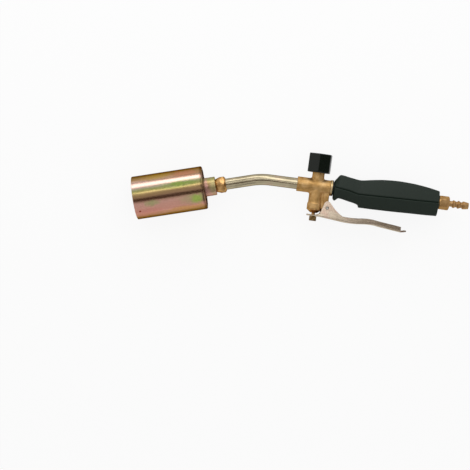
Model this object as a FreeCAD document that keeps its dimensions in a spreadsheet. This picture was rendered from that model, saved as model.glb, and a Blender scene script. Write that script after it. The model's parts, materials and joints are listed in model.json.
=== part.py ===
import FreeCAD, Part
import math
import os
import re
import Sketcher

# A propane torch with a squeeze lever, lying on its side, in millimetres.
# +X runs along the gas line towards the hose, +Y towards the knob and +Z up.
# The origin is on the gas line, in the middle of the last barb of the hose tail.

doc = FreeCAD.newDocument("PropaneTorch")
sheet = doc.addObject("Spreadsheet::Sheet", "Sizes")

sizes = {
    # fits
    "running_clearance": 0.05,
    "seat_clearance": 0.1,
    "free_clearance": 0.3,
    # lance
    "lance_radius": 6.4,
    "lance_wall": 1.0,
    "lance_socket": 10.0,
    "bend_at": 65.0,
    "bend_angle": 16.2,
    "bend_radius": 80.0,
    # lance nut, from the bend along the burner's axis
    "lance_nut_at": 41.0,
    "lance_nut_across": 18.4,
    "lance_nut_length": 11.9,
    "lance_nut_nose": 7.3,
    "lance_nut_mouth": 7.3,
    "lance_nut_widest": 2.6,
    "lance_nut_socket": 7.7,
    # burner
    "neck_radius": 10.7,
    "neck_length": 12.9,
    "neck_floor": 3.0,
    "neck_bore": 7.2,
    "spigot_radius": 9.0,
    "shell_radius": 25.0,
    "shell_wall": 1.0,
    "shell_length": 82.0,
    "shell_curl": 3.8,
    "plate_inset": 3.8,
    "plate_thickness": 2.0,
    "air_slots": 12,
    "air_slot_width": 2.4,
    "air_slot_inner": 12.5,
    "air_slot_outer": 21.5,
    "mixing_length": 35.0,
    "air_hole_radius": 2.2,
    "air_holes": 6,
    "air_hole_at": 6.0,
    "holder_radius": 20.0,
    "holder_thickness": 1.5,
    "flame_holes": 12,
    "flame_hole_radius": 2.2,
    "flame_hole_circle": 14.5,
    # jet
    "jet_radius": 4.5,
    "jet_way": 1.5,
    "jet_orifice": 0.4,
    "jet_length": 24.0,
    "jet_nose": 4.0,
    "jet_tip": 2.0,
    # valve body
    "front_reach": 23.1,
    "rear_reach": 15.3,
    "port_radius": 8.5,
    "low_reach": 26.2,
    "low_radius": 7.8,
    "band_radius": 8.5,
    "band_at": 19.3,
    "band_bevel": 0.8,
    "top_reach": 17.5,
    "top_radius": 7.0,
    "casting_round": 2.0,
    "ring_at": 22.4,
    "ring_width": 0.5,
    "ring_depth": 0.3,
    "rear_socket": 8.3,
    "rear_way": 4.0,
    "rear_way_end": 4.0,
    "front_way": 2.5,
    "chamber_radius": 6.2,
    "chamber_top": 9.5,
    "seat_rise": 1.0,
    "seat_radius": 2.6,
    "orifice_radius": 1.5,
    "orifice_top": 3.5,
    "needle_bore": 3.2,
    "gland_radius": 4.6,
    "gland_depth": 7.5,
    "transfer_radius": 1.2,
    "transfer_offset": 5.0,
    # lever pivot and its lug
    "pivot_ahead": 14.6,
    "pivot_drop": 23.3,
    "pivot_radius": 2.05,
    "pivot_proud": 0.6,
    "pivot_chamfer": 0.4,
    "lug_radius": 4.2,
    "lug_top": 5.0,
    "lug_front": 8.6,
    "lug_back": 15.2,
    "lug_web": 9.0,
    "lug_web_front": 6.8,
    "lug_web_bottom": 25.0,
    # needle and knob
    "spindle_radius": 2.6,
    "spindle_top": 33.0,
    "needle_length": 1.6,
    "needle_tip": 0.4,
    "groove_at": 5.0,
    "groove_width": 1.7,
    "groove_radius": 1.9,
    "oring_section": 0.6,
    "gland_across": 14.0,
    "gland_height": 6.5,
    "knob_across": 25.0,
    "knob_at": 15.6,
    "knob_height": 21.8,
    "knob_wall": 3.0,
    "knob_floor": 26.0,
    "knob_turned": -9.0,
    "knob_round": 0.8,
    "screw_radius": 1.5,
    "screw_head": 3.2,
    "screw_head_height": 2.0,
    "screw_length": 8.0,
    "screw_sunk": 3.5,
    # plunger, spring and cap below the valve
    "disc_radius": 5.0,
    "disc_bottom": 15.0,
    "seal_radius": 4.3,
    "seal_thickness": 2.2,
    "seal_proud": 0.8,
    "stem_radius": 2.0,
    "spring_radius": 3.6,
    "spring_wire": 0.45,
    "spring_turns": 5,
    "cap_spigot": 2.7,
    "cap_rim": 1.0,
    "cap_height": 4.6,
    "cap_nose": 3.8,
    "stem_oring_at": 28.3,
    "stem_groove_width": 1.6,
    "stem_groove_radius": 3.3,
    "nut_across": 8.0,
    "nut_height": 5.3,
    # lever
    "lever_width": 15.0,
    "lever_sheet": 1.6,
    "lever_round": 2.2,
    "tab_reach": 7.4,
    "tab_bottom": 34.6,
    "ear_rise": 7.7,
    "ear_crown": 3.4,
    "lever_depth": 6.4,
    "heel_at": 33.9,
    "heel_drop": 37.3,
    "dip_drop": 37.6,
    "sway_at": 56.0,
    "sway_drop": 36.8,
    "hump_at": 65.5,
    "hump_drop": 36.2,
    "slope_at": 76.0,
    "slope_drop": 37.3,
    "lever_reach": 101.4,
    "lever_end_drop": 40.2,
    "tongue_length": 6.4,
    "tongue_rise": 1.3,
    # pieces behind the valve
    "collar_radius": 9.1,
    "collar_length": 4.2,
    "collar_flange": 3.4,
    "collar_neck": 7.6,
    "supply_radius": 5.0,
    "supply_wall": 1.0,
    "grip_bevel": 7.0,
    "washer_radius": 7.8,
    "washer_rim": 1.6,
    "washer_neck": 6.0,
    "washer_thickness": 3.0,
    # hose tail
    "tail_across": 14.0,
    "tail_hex_length": 9.8,
    "tail_socket": 6.0,
    "barb_reach": 16.6,
    "barb_radius": 4.5,
    "barb_land": 1.0,
    "barb_pitch": 5.6,
    "barb_back": 0.8,
    "barb_ramp": 2.2,
    "barb_root": 3.3,
    "tail_tip": 6.0,
    "tail_tip_radius": 3.6,
    "tail_bore": 2.2,
}

# The grip's sections: each one's distance from the grip's front, then the heights of its top,
# bottom and side ridge over the gas line, then its half width at the ridge.
grip_sections = {
    "front": (0.0, 9.0, -12.2, 1.8, 10.5),
    "lip": (2.1, 11.4, -13.9, 1.5, 11.6),
    "crown": (6.4, 16.4, -10.7, 1.0, 13.0),
    "finger": (18.0, 14.7, -12.6, -0.6, 12.8),
    "waist": (29.8, 13.3, -15.5, -3.0, 12.5),
    "step": (31.0, 13.4, -18.3, -3.0, 12.6),
    "rise": (43.0, 15.4, -18.3, -2.7, 13.6),
    "palm": (57.0, 17.2, -18.1, -2.3, 14.5),
    "belly": (72.0, 17.9, -17.8, -1.9, 15.0),
    "slope": (88.0, 17.3, -17.3, -1.5, 15.0),
    "heel": (105.0, 15.4, -16.9, -1.0, 14.6),
    "rear": (120.4, 12.6, -16.2, -0.5, 13.8),
}
section_sizes = ("at", "top", "bottom", "ridge", "half")
for name, values in grip_sections.items():
    for part, size in zip(section_sizes, values):
        sizes[f"grip_{name}_{part}"] = size

for row, (name, size) in enumerate(sizes.items(), start=1):
    sheet.set(f"A{row}", name)
    sheet.set(f"B{row}", str(size))
    sheet.setAlias(f"B{row}", name)
doc.recompute()

# Sizes that follow from the ones above.
derived = {
    "grip_length": "grip_rear_at",
    "valve_x": "-(rear_reach + collar_length + grip_length + washer_thickness"
               " + tail_hex_length + barb_reach)",
    "bend_x": "valve_x - bend_at",
    "bend_tangent": "bend_radius * tan(bend_angle / 2)",
    "lance_inner": "lance_radius - lance_wall",
    "lance_nut_end": "lance_nut_at + lance_nut_length",
    "lance_end": "lance_nut_at + lance_nut_socket",
    "shell_at": "lance_nut_end + neck_length",
    "plate_at": "shell_at + plate_inset",
    "plate_end": "plate_at + plate_thickness",
    "shell_inner": "shell_radius - shell_wall",
    "mixing_end": "plate_end + mixing_length",
    "pivot_x": "valve_x + pivot_ahead",
    "lug_width": "lever_width - 2 * lever_sheet - 2 * free_clearance",
    "needle_shoulder": "needle_length - orifice_top",
    "knob_top": "knob_at + knob_height",
    "seal_face": "chamber_top + seat_rise + seat_clearance",
    "disc_top": "seal_face + seal_proud",
    "seal_back": "seal_face + seal_thickness",
    "cap_inner": "low_reach - cap_spigot",
    "cap_bottom": "low_reach + cap_height",
    "stem_bore": "stem_radius + running_clearance",
    "band_end": "band_at + band_bevel",
    "nut_top": "tab_bottom + free_clearance",
    "nut_bottom": "nut_top + nut_height",
    "lever_inner": "lever_width - 2 * lever_sheet",
    "supply_inner": "supply_radius - supply_wall",
    "supply_front": "rear_reach - rear_socket",
    "supply_back": "rear_reach + collar_length + grip_length + washer_thickness + tail_socket",
    "tail_face": "-barb_reach - tail_hex_length",
}

word = re.compile(r"[a-z][a-z_0-9]*")


def formula(text):
    """Turn words into cells of the sheet, and derived words into their own formulas."""

    def spell(match):
        name = match.group(0)
        if name in derived:
            return "(" + formula(derived[name]) + ")"
        if name in sizes:
            return "Sizes." + name
        return name

    return word.sub(spell, str(text))


def value(text):
    return float(sheet.evalExpression(formula(text)))


def spot(corner):
    return FreeCAD.Vector(value(corner[0]), value(corner[1]), 0)


def place(item, x, y="0", turn="0"):
    """Put an item's own X axis at x, y in the torch, turned about Z."""
    item.Placement = FreeCAD.Placement(
        FreeCAD.Vector(value(x), value(y), 0), FreeCAD.Rotation(FreeCAD.Vector(0, 0, 1), value(turn))
    )
    item.setExpression(".Placement.Base.x", formula(x))
    item.setExpression(".Placement.Base.y", formula(y))
    item.setExpression(".Placement.Rotation.Angle", formula(turn))


def new_sketch(body, name, plane="XY_Plane", offset="0"):
    sketch = body.newObject("Sketcher::SketchObject", f"{body.Name}_{name}")
    faces = {item.Role: item for item in body.Origin.OriginFeatures}
    sketch.AttachmentSupport = (faces[plane], [""])
    sketch.MapMode = "FlatFace"
    if offset != "0":
        sketch.setExpression(".AttachmentOffset.Base.z", formula(offset))
    return sketch


def pin_point(sketch, geometry, end, corner):
    """Hold a point of the sketch at a corner given as two formulas."""
    here = spot(corner)
    for kind, size, text in (("DistanceX", here.x, corner[0]), ("DistanceY", here.y, corner[1])):
        held = sketch.addConstraint(Sketcher.Constraint(kind, -1, 1, geometry, end, size))
        sketch.setExpression(f"Constraints[{held}]", formula(text))


def add_arc(sketch, start, middle, end):
    """Draw the arc through three points, and return it with the numbers of its two ends."""
    circle = Part.Arc(start, middle, end).toShape().Curve
    centre = circle.Center
    angles = [math.atan2(p.y - centre.y, p.x - centre.x) for p in (start, end)]
    forward = (middle - start).cross(end - start).z > 0
    first, last = angles if forward else reversed(angles)
    ring = Part.Circle(centre, FreeCAD.Vector(0, 0, 1), circle.Radius)
    arc = sketch.addGeometry(Part.ArcOfCircle(ring, first, last))
    return arc, (1, 2) if forward else (2, 1)


def draw(sketch, path, closed=True):
    """Draw lines through the corners; a corner that starts with "via" is on an arc."""
    points = path + path[:1] if closed else path
    edges = []
    start, middle = points[0], None
    for point in points[1:]:
        if point[0] == "via":
            middle = point[1:]
            continue
        if middle:
            edge, ends = add_arc(sketch, spot(start), spot(middle), spot(point))
            guide = sketch.addGeometry(Part.Point(spot(middle)), True)
            sketch.addConstraint(Sketcher.Constraint("PointOnObject", guide, 1, edge))
            pin_point(sketch, guide, 1, middle)
        else:
            edge, ends = sketch.addGeometry(Part.LineSegment(spot(start), spot(point))), (1, 2)
        edges.append((edge, ends, start))
        start, middle = point, None
    followers = edges[1:] + edges[:1] if closed else edges[1:]
    for (edge, ends, _), (other, other_ends, _) in zip(edges, followers):
        sketch.addConstraint(Sketcher.Constraint("Coincident", edge, ends[1], other, other_ends[0]))
    for edge, ends, corner in edges:
        pin_point(sketch, edge, ends[0], corner)
    if not closed:
        pin_point(sketch, edge, ends[1], start)
    return sketch


def draw_circle(sketch, radius, x="0", y="0"):
    ring = Part.Circle(spot((x, y)), FreeCAD.Vector(0, 0, 1), value(radius))
    circle = sketch.addGeometry(ring)
    held = sketch.addConstraint(Sketcher.Constraint("Radius", circle, value(radius)))
    sketch.setExpression(f"Constraints[{held}]", formula(radius))
    pin_point(sketch, circle, 3, (x, y))
    return sketch


def hexagon(across, turn="0"):
    """Corners of a hexagon from its size across flats, its first corner at the turn."""
    reach = f"({across}) / 2 / cos(30)"
    angles = [f"({turn}) + {60 * corner}" for corner in range(6)]
    return [(f"{reach} * cos({angle})", f"{reach} * sin({angle})") for angle in angles]


def new_body(label):
    body = doc.addObject("PartDesign::Body", label)
    body.Label = label
    return body


def feature(body, kind, name, sketch):
    made = body.newObject(f"PartDesign::{kind}", f"{body.Name}_{name}")
    made.Profile = sketch
    return made


def add_turned(body, name, path, axis="H_Axis"):
    sketch = draw(new_sketch(body, name + "_profile"), path)
    made = feature(body, "Revolution", name, sketch)
    made.ReferenceAxis = (sketch, [axis])
    made.Angle = 360
    return made


def add_pad(body, name, sketch, length, middle=False):
    made = feature(body, "Pad", name, sketch)
    made.setExpression("Length", formula(length))
    made.Midplane = middle
    return made


def solid_volume(body):
    doc.recompute()
    return body.Shape.Volume


def checked_cut(body, before, name):
    """A cut that takes nothing away is a fault of its direction or place."""
    after = solid_volume(body)
    if not 0 < after < before - 1e-3:
        raise RuntimeError(f"{body.Label}: {name} cuts nothing")


def cut_turned(body, name, path, axis="H_Axis"):
    before = solid_volume(body)
    sketch = draw(new_sketch(body, name + "_profile"), path)
    made = feature(body, "Groove", name, sketch)
    made.ReferenceAxis = (sketch, [axis])
    made.Angle = 360
    checked_cut(body, before, name)


def cut_through(body, name, sketch, middle=False, reverse=False, length=None):
    before = solid_volume(body)
    made = feature(body, "Pocket", name, sketch)
    made.Midplane = middle
    made.Reversed = reverse
    if length:
        made.setExpression("Length", formula(length))
    else:
        made.Type = "ThroughAll"
    checked_cut(body, before, name)
    return made


def around(body, name, made, sketch_axis, count):
    """Repeat a cut around the body's X axis."""
    before = solid_volume(body)
    pattern = body.newObject("PartDesign::PolarPattern", f"{body.Name}_{name}")
    pattern.Originals = [made]
    pattern.Axis = sketch_axis
    pattern.Angle = 360
    pattern.setExpression("Occurrences", formula(count))
    body.Tip = pattern
    checked_cut(body, before, name)


def edge_names(body, wanted):
    return [f"Edge{n}" for n, edge in enumerate(body.Shape.Edges, start=1) if wanted(edge)]


def dress(body, kind, name, edges):
    """Add a fillet or a chamfer on top of the body's last feature."""
    last = body.Tip
    made = body.newObject(f"PartDesign::{kind}", f"{body.Name}_{name}")
    made.Base = (last, edges)
    return made


def tube_path(inner, outer, start, end):
    return [(start, inner), (end, inner), (end, outer), (start, outer)]


def turned(label, path, x="valve_x", y="0", turn="0"):
    """A sub-part turned about its own X axis, placed in the torch."""
    body = new_body(label)
    add_turned(body, "turned", path)
    place(body, x, y, turn)
    return body


def ring_seal(label, at, radius, section, turn):
    body = new_body(label)
    sketch = draw_circle(new_sketch(body, "section"), section, at, radius)
    made = feature(body, "Revolution", "ring", sketch)
    made.ReferenceAxis = (sketch, ["H_Axis"])
    made.Angle = 360
    place(body, "valve_x", "0", turn)
    return body


def chamfer_hex(body, name, at, across, outwards):
    """Turn the corners of a hexagon down at one end; outwards is 1 or -1 along X."""
    corner = f"({across}) / 2 / cos(30)"
    back = f"({at}) - {outwards} * (({corner}) - ({across}) / 2) * tan(30)"
    path = [(at, f"({across}) / 2"), (at, f"{corner} + 1"), (back, f"{corner} + 1"), (back, corner)]
    cut_turned(body, name, path)


# ---- burner and lance ----

burner_turn = "180 + bend_angle"


def burner_piece(label, path):
    return turned(label, path, "bend_x", "0", burner_turn)


def make_burner_shell():
    """Drawn cup; its rear edge is curled in behind the back plate."""
    middle, lip = "shell_at + shell_curl", "shell_radius - shell_curl"
    inner = "(shell_curl - shell_wall)"
    burner_piece("burner_shell", [
        ("shell_at + shell_length", "shell_inner"), ("shell_at + shell_length", "shell_radius"),
        (middle, "shell_radius"),
        ("via", f"{middle} - shell_curl * cos(45)", f"{lip} + shell_curl * sin(45)"),
        ("shell_at", lip), ("shell_at + shell_wall", lip),
        ("via", f"{middle} - {inner} * cos(45)", f"{lip} + {inner} * sin(45)"),
        (middle, "shell_inner"),
    ])


def make_burner_back_plate():
    """The air inlet: a disc inside the shell's rear end with a ring of radial slots."""
    body = burner_piece("burner_back_plate",
                        tube_path("spigot_radius", "shell_inner", "plate_at", "plate_end"))
    doc.recompute()
    sketch = new_sketch(body, "slot", "YZ_Plane", "plate_at")
    half = "air_slot_width / 2"
    draw(sketch, [
        ("air_slot_inner", f"-{half}"), ("air_slot_outer", f"-{half}"),
        ("via", f"air_slot_outer + {half}", "0"), ("air_slot_outer", half),
        ("air_slot_inner", half), ("via", f"air_slot_inner - {half}", "0"),
    ])
    slot = cut_through(body, "air_slot", sketch, reverse=True)
    around(body, "air_slots", slot, (sketch, ["N_Axis"]), "air_slots")


def make_burner_neck():
    """The collar between the lance nut and the shell; its spigot carries the back plate."""
    burner_piece("burner_neck", [
        ("lance_nut_end", "jet_radius"), ("lance_nut_end + neck_floor", "jet_radius"),
        ("lance_nut_end + neck_floor", "neck_bore"), ("plate_end", "neck_bore"),
        ("plate_end", "spigot_radius"), ("plate_at", "spigot_radius"),
        ("plate_at", "neck_radius"), ("lance_nut_end", "neck_radius"),
    ])


def make_mixing_tube():
    body = burner_piece("mixing_tube",
                        tube_path("neck_bore", "spigot_radius", "plate_end", "mixing_end"))
    doc.recompute()
    sketch = draw_circle(new_sketch(body, "hole"), "air_hole_radius", "plate_end + air_hole_at")
    hole = cut_through(body, "air_hole", sketch, reverse=True)
    around(body, "air_holes", hole, (sketch, ["H_Axis"]), "air_holes")


def make_flame_holder():
    body = burner_piece("flame_holder", tube_path(
        "spigot_radius", "holder_radius", "mixing_end - holder_thickness", "mixing_end"))
    doc.recompute()
    sketch = new_sketch(body, "hole", "YZ_Plane", "mixing_end - holder_thickness")
    draw_circle(sketch, "flame_hole_radius", "flame_hole_circle")
    hole = cut_through(body, "flame_hole", sketch, reverse=True)
    around(body, "flame_holes", hole, (sketch, ["N_Axis"]), "flame_holes")


def make_gas_jet():
    end = "lance_end + jet_length"
    burner_piece("gas_jet", [
        ("lance_end", "jet_way"), (f"{end} - jet_tip", "jet_way"),
        (f"{end} - jet_tip", "jet_orifice"), (end, "jet_orifice"), (end, "jet_tip"),
        (f"{end} - jet_nose", "jet_radius"), ("lance_end", "jet_radius"),
    ])


def make_lance_nut():
    """Hexagon turned down at both ends: steeply at the lance, in a long nose at the neck."""
    body = new_body("lance_nut")
    sketch = new_sketch(body, "hexagon", "YZ_Plane", "lance_nut_at")
    add_pad(body, "hex", draw(sketch, hexagon("lance_nut_across", "30")), "lance_nut_length")
    cut_turned(body, "bore", [
        ("lance_nut_at", "0"), ("lance_nut_end", "0"), ("lance_nut_end", "jet_radius"),
        ("lance_end", "jet_radius"), ("lance_end", "lance_radius"), ("lance_nut_at", "lance_radius"),
    ])
    corner = "lance_nut_across / 2 / cos(30)"
    widest = "lance_nut_at + lance_nut_widest"
    cut_turned(body, "nose", [
        ("lance_nut_end", "lance_nut_nose"), ("lance_nut_end", f"{corner} + 1"),
        (widest, f"{corner} + 1"), (widest, corner),
    ])
    cut_turned(body, "mouth", [
        ("lance_nut_at", "lance_nut_mouth"), (widest, corner), (widest, f"{corner} + 1"),
        ("lance_nut_at", f"{corner} + 1"),
    ])
    place(body, "bend_x", "0", burner_turn)


def make_lance_tube():
    """Drawn tube with one bend, from its socket in the valve to its socket in the nut."""
    body = new_body("lance_tube")
    start = "front_reach - lance_socket"
    path = draw(new_sketch(body, "path"), [
        (start, "0"), ("bend_at - bend_tangent", "0"),
        ("via", "bend_at - bend_tangent + bend_radius * sin(bend_angle / 2)",
         "bend_radius * (1 - cos(bend_angle / 2))"),
        ("bend_at + bend_tangent * cos(bend_angle)", "bend_tangent * sin(bend_angle)"),
        ("bend_at + lance_end * cos(bend_angle)", "lance_end * sin(bend_angle)"),
    ], closed=False)
    section = new_sketch(body, "section", "YZ_Plane", start)
    draw_circle(section, "lance_radius")
    draw_circle(section, "lance_inner")
    made = feature(body, "AdditivePipe", "tube", section)
    made.Spine = path
    place(body, "valve_x", "0", "180")


# ---- valve ----


def crosses_ports(edge):
    """True where the upright ports leave the gas line: such an edge is flat in no direction."""
    box = edge.BoundBox
    return min(box.XLength, box.YLength, box.ZLength) > value("ring_depth")


def make_valve_body():
    """Cast brass cross with a lug for the lever, bored for the gas ways."""
    body = new_body("valve_body")
    add_turned(body, "gas_line", [
        ("-front_reach", "0"), ("rear_reach", "0"), ("rear_reach", "port_radius"),
        ("-front_reach", "port_radius"),
    ])
    ring_bottom = "band_radius - ring_depth"
    add_turned(body, "uprights", [
        ("0", "-low_reach"), ("band_radius", "-low_reach"),
        ("band_radius", "-ring_at - ring_width"), (ring_bottom, "-ring_at - ring_width"),
        (ring_bottom, "-ring_at"), ("band_radius", "-ring_at"), ("band_radius", "-band_end"),
        ("low_radius", "-band_at"), ("low_radius", "0"), ("top_radius", "0"),
        ("top_radius", "top_reach"), ("0", "top_reach"),
    ], "V_Axis")
    doc.recompute()
    rounds = dress(body, "Fillet", "casting_rounds", edge_names(body, crosses_ports))
    rounds.setExpression("Radius", formula("casting_round"))
    lug = draw(new_sketch(body, "lug_outline"), [
        ("lug_front", "-lug_top"), ("pivot_ahead - lug_radius", "-pivot_drop"),
        ("via", "pivot_ahead", "-pivot_drop - lug_radius"),
        ("pivot_ahead + lug_radius", "-pivot_drop"),
        ("lug_back", "-pivot_drop + 2 * lug_radius"), ("lug_back", "-lug_top"),
    ])
    add_pad(body, "lug", lug, "lug_width", middle=True)
    web_back = "pivot_ahead - lug_radius / 2"
    web = draw(new_sketch(body, "web_outline"), [
        ("lug_web_front", "-lug_top"), ("lug_web_front", "-lug_web_bottom"),
        (web_back, "-lug_web_bottom"), (web_back, "-lug_top"),
    ])
    add_pad(body, "web", web, "lug_web", middle=True)
    cut_turned(body, "gas_bores", [
        ("-front_reach", "0"), ("0", "0"), ("0", "front_way"),
        ("lance_socket - front_reach", "front_way"),
        ("lance_socket - front_reach", "lance_radius"), ("-front_reach", "lance_radius"),
    ])
    cut_turned(body, "rear_bores", [
        ("rear_way_end", "0"), ("rear_reach", "0"), ("rear_reach", "supply_radius"),
        ("supply_front", "supply_radius"), ("supply_front", "rear_way"),
        ("rear_way_end", "rear_way"),
    ])
    cut_turned(body, "upright_bores", [
        ("0", "-low_reach"), ("chamber_radius", "-low_reach"), ("chamber_radius", "-chamber_top"),
        ("seat_radius", "-chamber_top"), ("seat_radius", "-chamber_top - seat_rise"),
        ("orifice_radius", "-chamber_top - seat_rise"), ("orifice_radius", "-orifice_top"),
        ("needle_bore", "-orifice_top"), ("needle_bore", "top_reach - gland_depth"),
        ("gland_radius", "top_reach - gland_depth"), ("gland_radius", "top_reach"),
        ("0", "top_reach"),
    ], "V_Axis")
    way = draw_circle(new_sketch(body, "transfer", "XZ_Plane"), "transfer_radius", "transfer_offset")
    cut_through(body, "transfer_way", way, reverse=True, length="chamber_top + seat_rise")
    pivot = draw_circle(new_sketch(body, "pivot"), "pivot_radius", "pivot_ahead", "-pivot_drop")
    cut_through(body, "pivot_bore", pivot, middle=True)
    place(body, "valve_x")


def make_spindle():
    """Threaded spindle with a needle at its lower end and a groove for its seal."""
    turned("spindle", [
        ("needle_shoulder - 2 * needle_length", "0"),
        ("needle_shoulder - 2 * needle_length", "needle_tip"),
        ("-orifice_top", "orifice_radius - seat_clearance"),
        ("needle_shoulder", "spindle_radius"),
        ("groove_at", "spindle_radius"), ("groove_at", "groove_radius"),
        ("groove_at + groove_width", "groove_radius"),
        ("groove_at + groove_width", "spindle_radius"),
        ("spindle_top", "spindle_radius"), ("spindle_top", "screw_radius"),
        ("knob_top - screw_sunk - screw_length", "screw_radius"),
        ("knob_top - screw_sunk - screw_length", "0"),
    ], turn="90")


def make_spindle_oring():
    middle = "(groove_radius + needle_bore) / 2"
    ring_seal("spindle_oring", "groove_at + groove_width / 2", middle, "oring_section", "90")


def make_gland_nut():
    """Nut on top of the neck, inside the knob; its bore carries the spindle's thread."""
    body = new_body("gland_nut")
    sketch = new_sketch(body, "hexagon", "YZ_Plane", "top_reach")
    add_pad(body, "hex", draw(sketch, hexagon("gland_across")), "gland_height")
    add_turned(body, "spigot", [
        ("top_reach - gland_depth", "0"), ("top_reach + gland_height", "0"),
        ("top_reach + gland_height", "gland_radius"), ("top_reach - gland_depth", "gland_radius"),
    ])
    bore = "spindle_radius + running_clearance"
    cut_turned(body, "bore", [
        ("top_reach - gland_depth", "0"), ("top_reach + gland_height", "0"),
        ("top_reach + gland_height", bore), ("top_reach - gland_depth", bore),
    ])
    chamfer_hex(body, "chamfer", "top_reach + gland_height", "gland_across", 1)
    place(body, "valve_x", "0", "90")


def make_knob():
    """Six-sided knob, hollow below, with a sunk screw on top."""
    body = new_body("knob")
    sketch = new_sketch(body, "hexagon", "YZ_Plane", "knob_at")
    add_pad(body, "hex", draw(sketch, hexagon("knob_across", "90 + knob_turned")), "knob_height")
    doc.recompute()
    corners = edge_names(body, lambda edge: abs(edge.Length - value("knob_height")) < 1e-6)
    rounding = dress(body, "Fillet", "rounding", corners)
    rounding.setExpression("Radius", formula("knob_round"))
    doc.recompute()
    inside = "knob_across / 2 - knob_wall"
    sunk = "knob_top - screw_sunk"
    cut_turned(body, "hollow", [
        ("knob_at", "0"), ("knob_top", "0"),
        ("knob_top", "screw_head + free_clearance"), (sunk, "screw_head + free_clearance"),
        (sunk, "screw_radius"), ("spindle_top", "screw_radius"),
        ("spindle_top", "spindle_radius"), ("knob_floor", "spindle_radius"),
        ("knob_floor", inside), ("knob_at", inside),
    ])
    place(body, "valve_x", "0", "90")


def make_knob_screw():
    sunk = "knob_top - screw_sunk"
    body = turned("knob_screw", [
        (f"{sunk} - screw_length", "0"), (f"{sunk} - screw_length", "screw_radius"),
        (sunk, "screw_radius"), (sunk, "screw_head"),
        (f"{sunk} + screw_head_height / 2", "screw_head"),
        (f"{sunk} + screw_head_height", "screw_head / 2"), (f"{sunk} + screw_head_height", "0"),
    ], turn="90")
    doc.recompute()
    slot = new_sketch(body, "slot", "YZ_Plane", f"{sunk} + screw_head_height / 2")
    half, reach = "screw_head / 8", "screw_head + free_clearance"
    draw(slot, [(f"-{half}", f"-({reach})"), (half, f"-({reach})"), (half, reach), (f"-{half}", reach)])
    cut_through(body, "driver_slot", slot, reverse=True)


def make_plunger():
    turned("plunger", [
        ("seal_back", "0"), ("seal_back", "seal_radius"), ("disc_top", "seal_radius"),
        ("disc_top", "disc_radius"), ("disc_bottom", "disc_radius"),
        ("disc_bottom", "stem_radius"), ("nut_bottom", "stem_radius"), ("nut_bottom", "0"),
    ], turn="-90")


def make_disc_seal():
    turned("disc_seal", tube_path("0", "seal_radius", "seal_face", "seal_back"), turn="-90")


def make_valve_spring():
    body = new_body("valve_spring")
    start = "disc_bottom + spring_wire + running_clearance"
    rise = "(cap_inner - disc_bottom - 2 * spring_wire - 2 * running_clearance)"
    sketch = draw_circle(new_sketch(body, "wire"), "spring_wire", start, "spring_radius")
    made = feature(body, "AdditiveHelix", "coil", sketch)
    made.ReferenceAxis = (sketch, ["H_Axis"])
    made.Mode = "height-turns-angle"
    made.setExpression("Height", formula(rise))
    made.setExpression("Turns", formula("spring_turns"))
    place(body, "valve_x", "0", "-90")


def make_bottom_cap():
    """Screwed cap that closes the chamber, guides the stem and holds its seal."""
    half_groove = "stem_groove_width / 2"
    turned("bottom_cap", [
        ("cap_inner", "stem_bore"), (f"stem_oring_at - {half_groove}", "stem_bore"),
        (f"stem_oring_at - {half_groove}", "stem_groove_radius"),
        (f"stem_oring_at + {half_groove}", "stem_groove_radius"),
        (f"stem_oring_at + {half_groove}", "stem_bore"), ("cap_bottom", "stem_bore"),
        ("cap_bottom", "cap_nose"), ("low_reach + cap_rim", "band_radius"),
        ("low_reach", "band_radius"), ("low_reach", "chamber_radius"),
        ("cap_inner", "chamber_radius"),
    ], turn="-90")


def make_stem_oring():
    middle = "(stem_bore + stem_groove_radius) / 2"
    section = "(stem_groove_radius - stem_bore) / 2"
    ring_seal("stem_oring", "stem_oring_at", middle, section, "-90")


def make_adjusting_nut():
    """The nut on the stem that the lever's fork pulls on."""
    body = new_body("adjusting_nut")
    sketch = new_sketch(body, "hexagon", "YZ_Plane", "nut_top")
    draw(sketch, hexagon("nut_across", "30"))
    draw_circle(sketch, "stem_radius")
    add_pad(body, "hex", sketch, "nut_height")
    chamfer_hex(body, "top_chamfer", "nut_top", "nut_across", -1)
    chamfer_hex(body, "bottom_chamfer", "nut_bottom", "nut_across", 1)
    place(body, "valve_x", "0", "-90")


# ---- lever ----


def lever_top(drop):
    return f"-({drop}) + lever_depth"


def under_arm(edge):
    """True for the long lower corners of the arm, where the sheet is folded up."""
    middle = edge.valueAt((edge.FirstParameter + edge.LastParameter) / 2)
    if abs(abs(middle.z) - value("lever_width") / 2) > 1e-6 or middle.x < value("heel_at"):
        return False
    solid = doc.getObject("lever").Shape
    below, above = [FreeCAD.Vector(middle.x, middle.y + step, 0) for step in (-0.5, 0.5)]
    return solid.isInside(above, 1e-6, False) and not solid.isInside(below, 1e-6, False)


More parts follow.
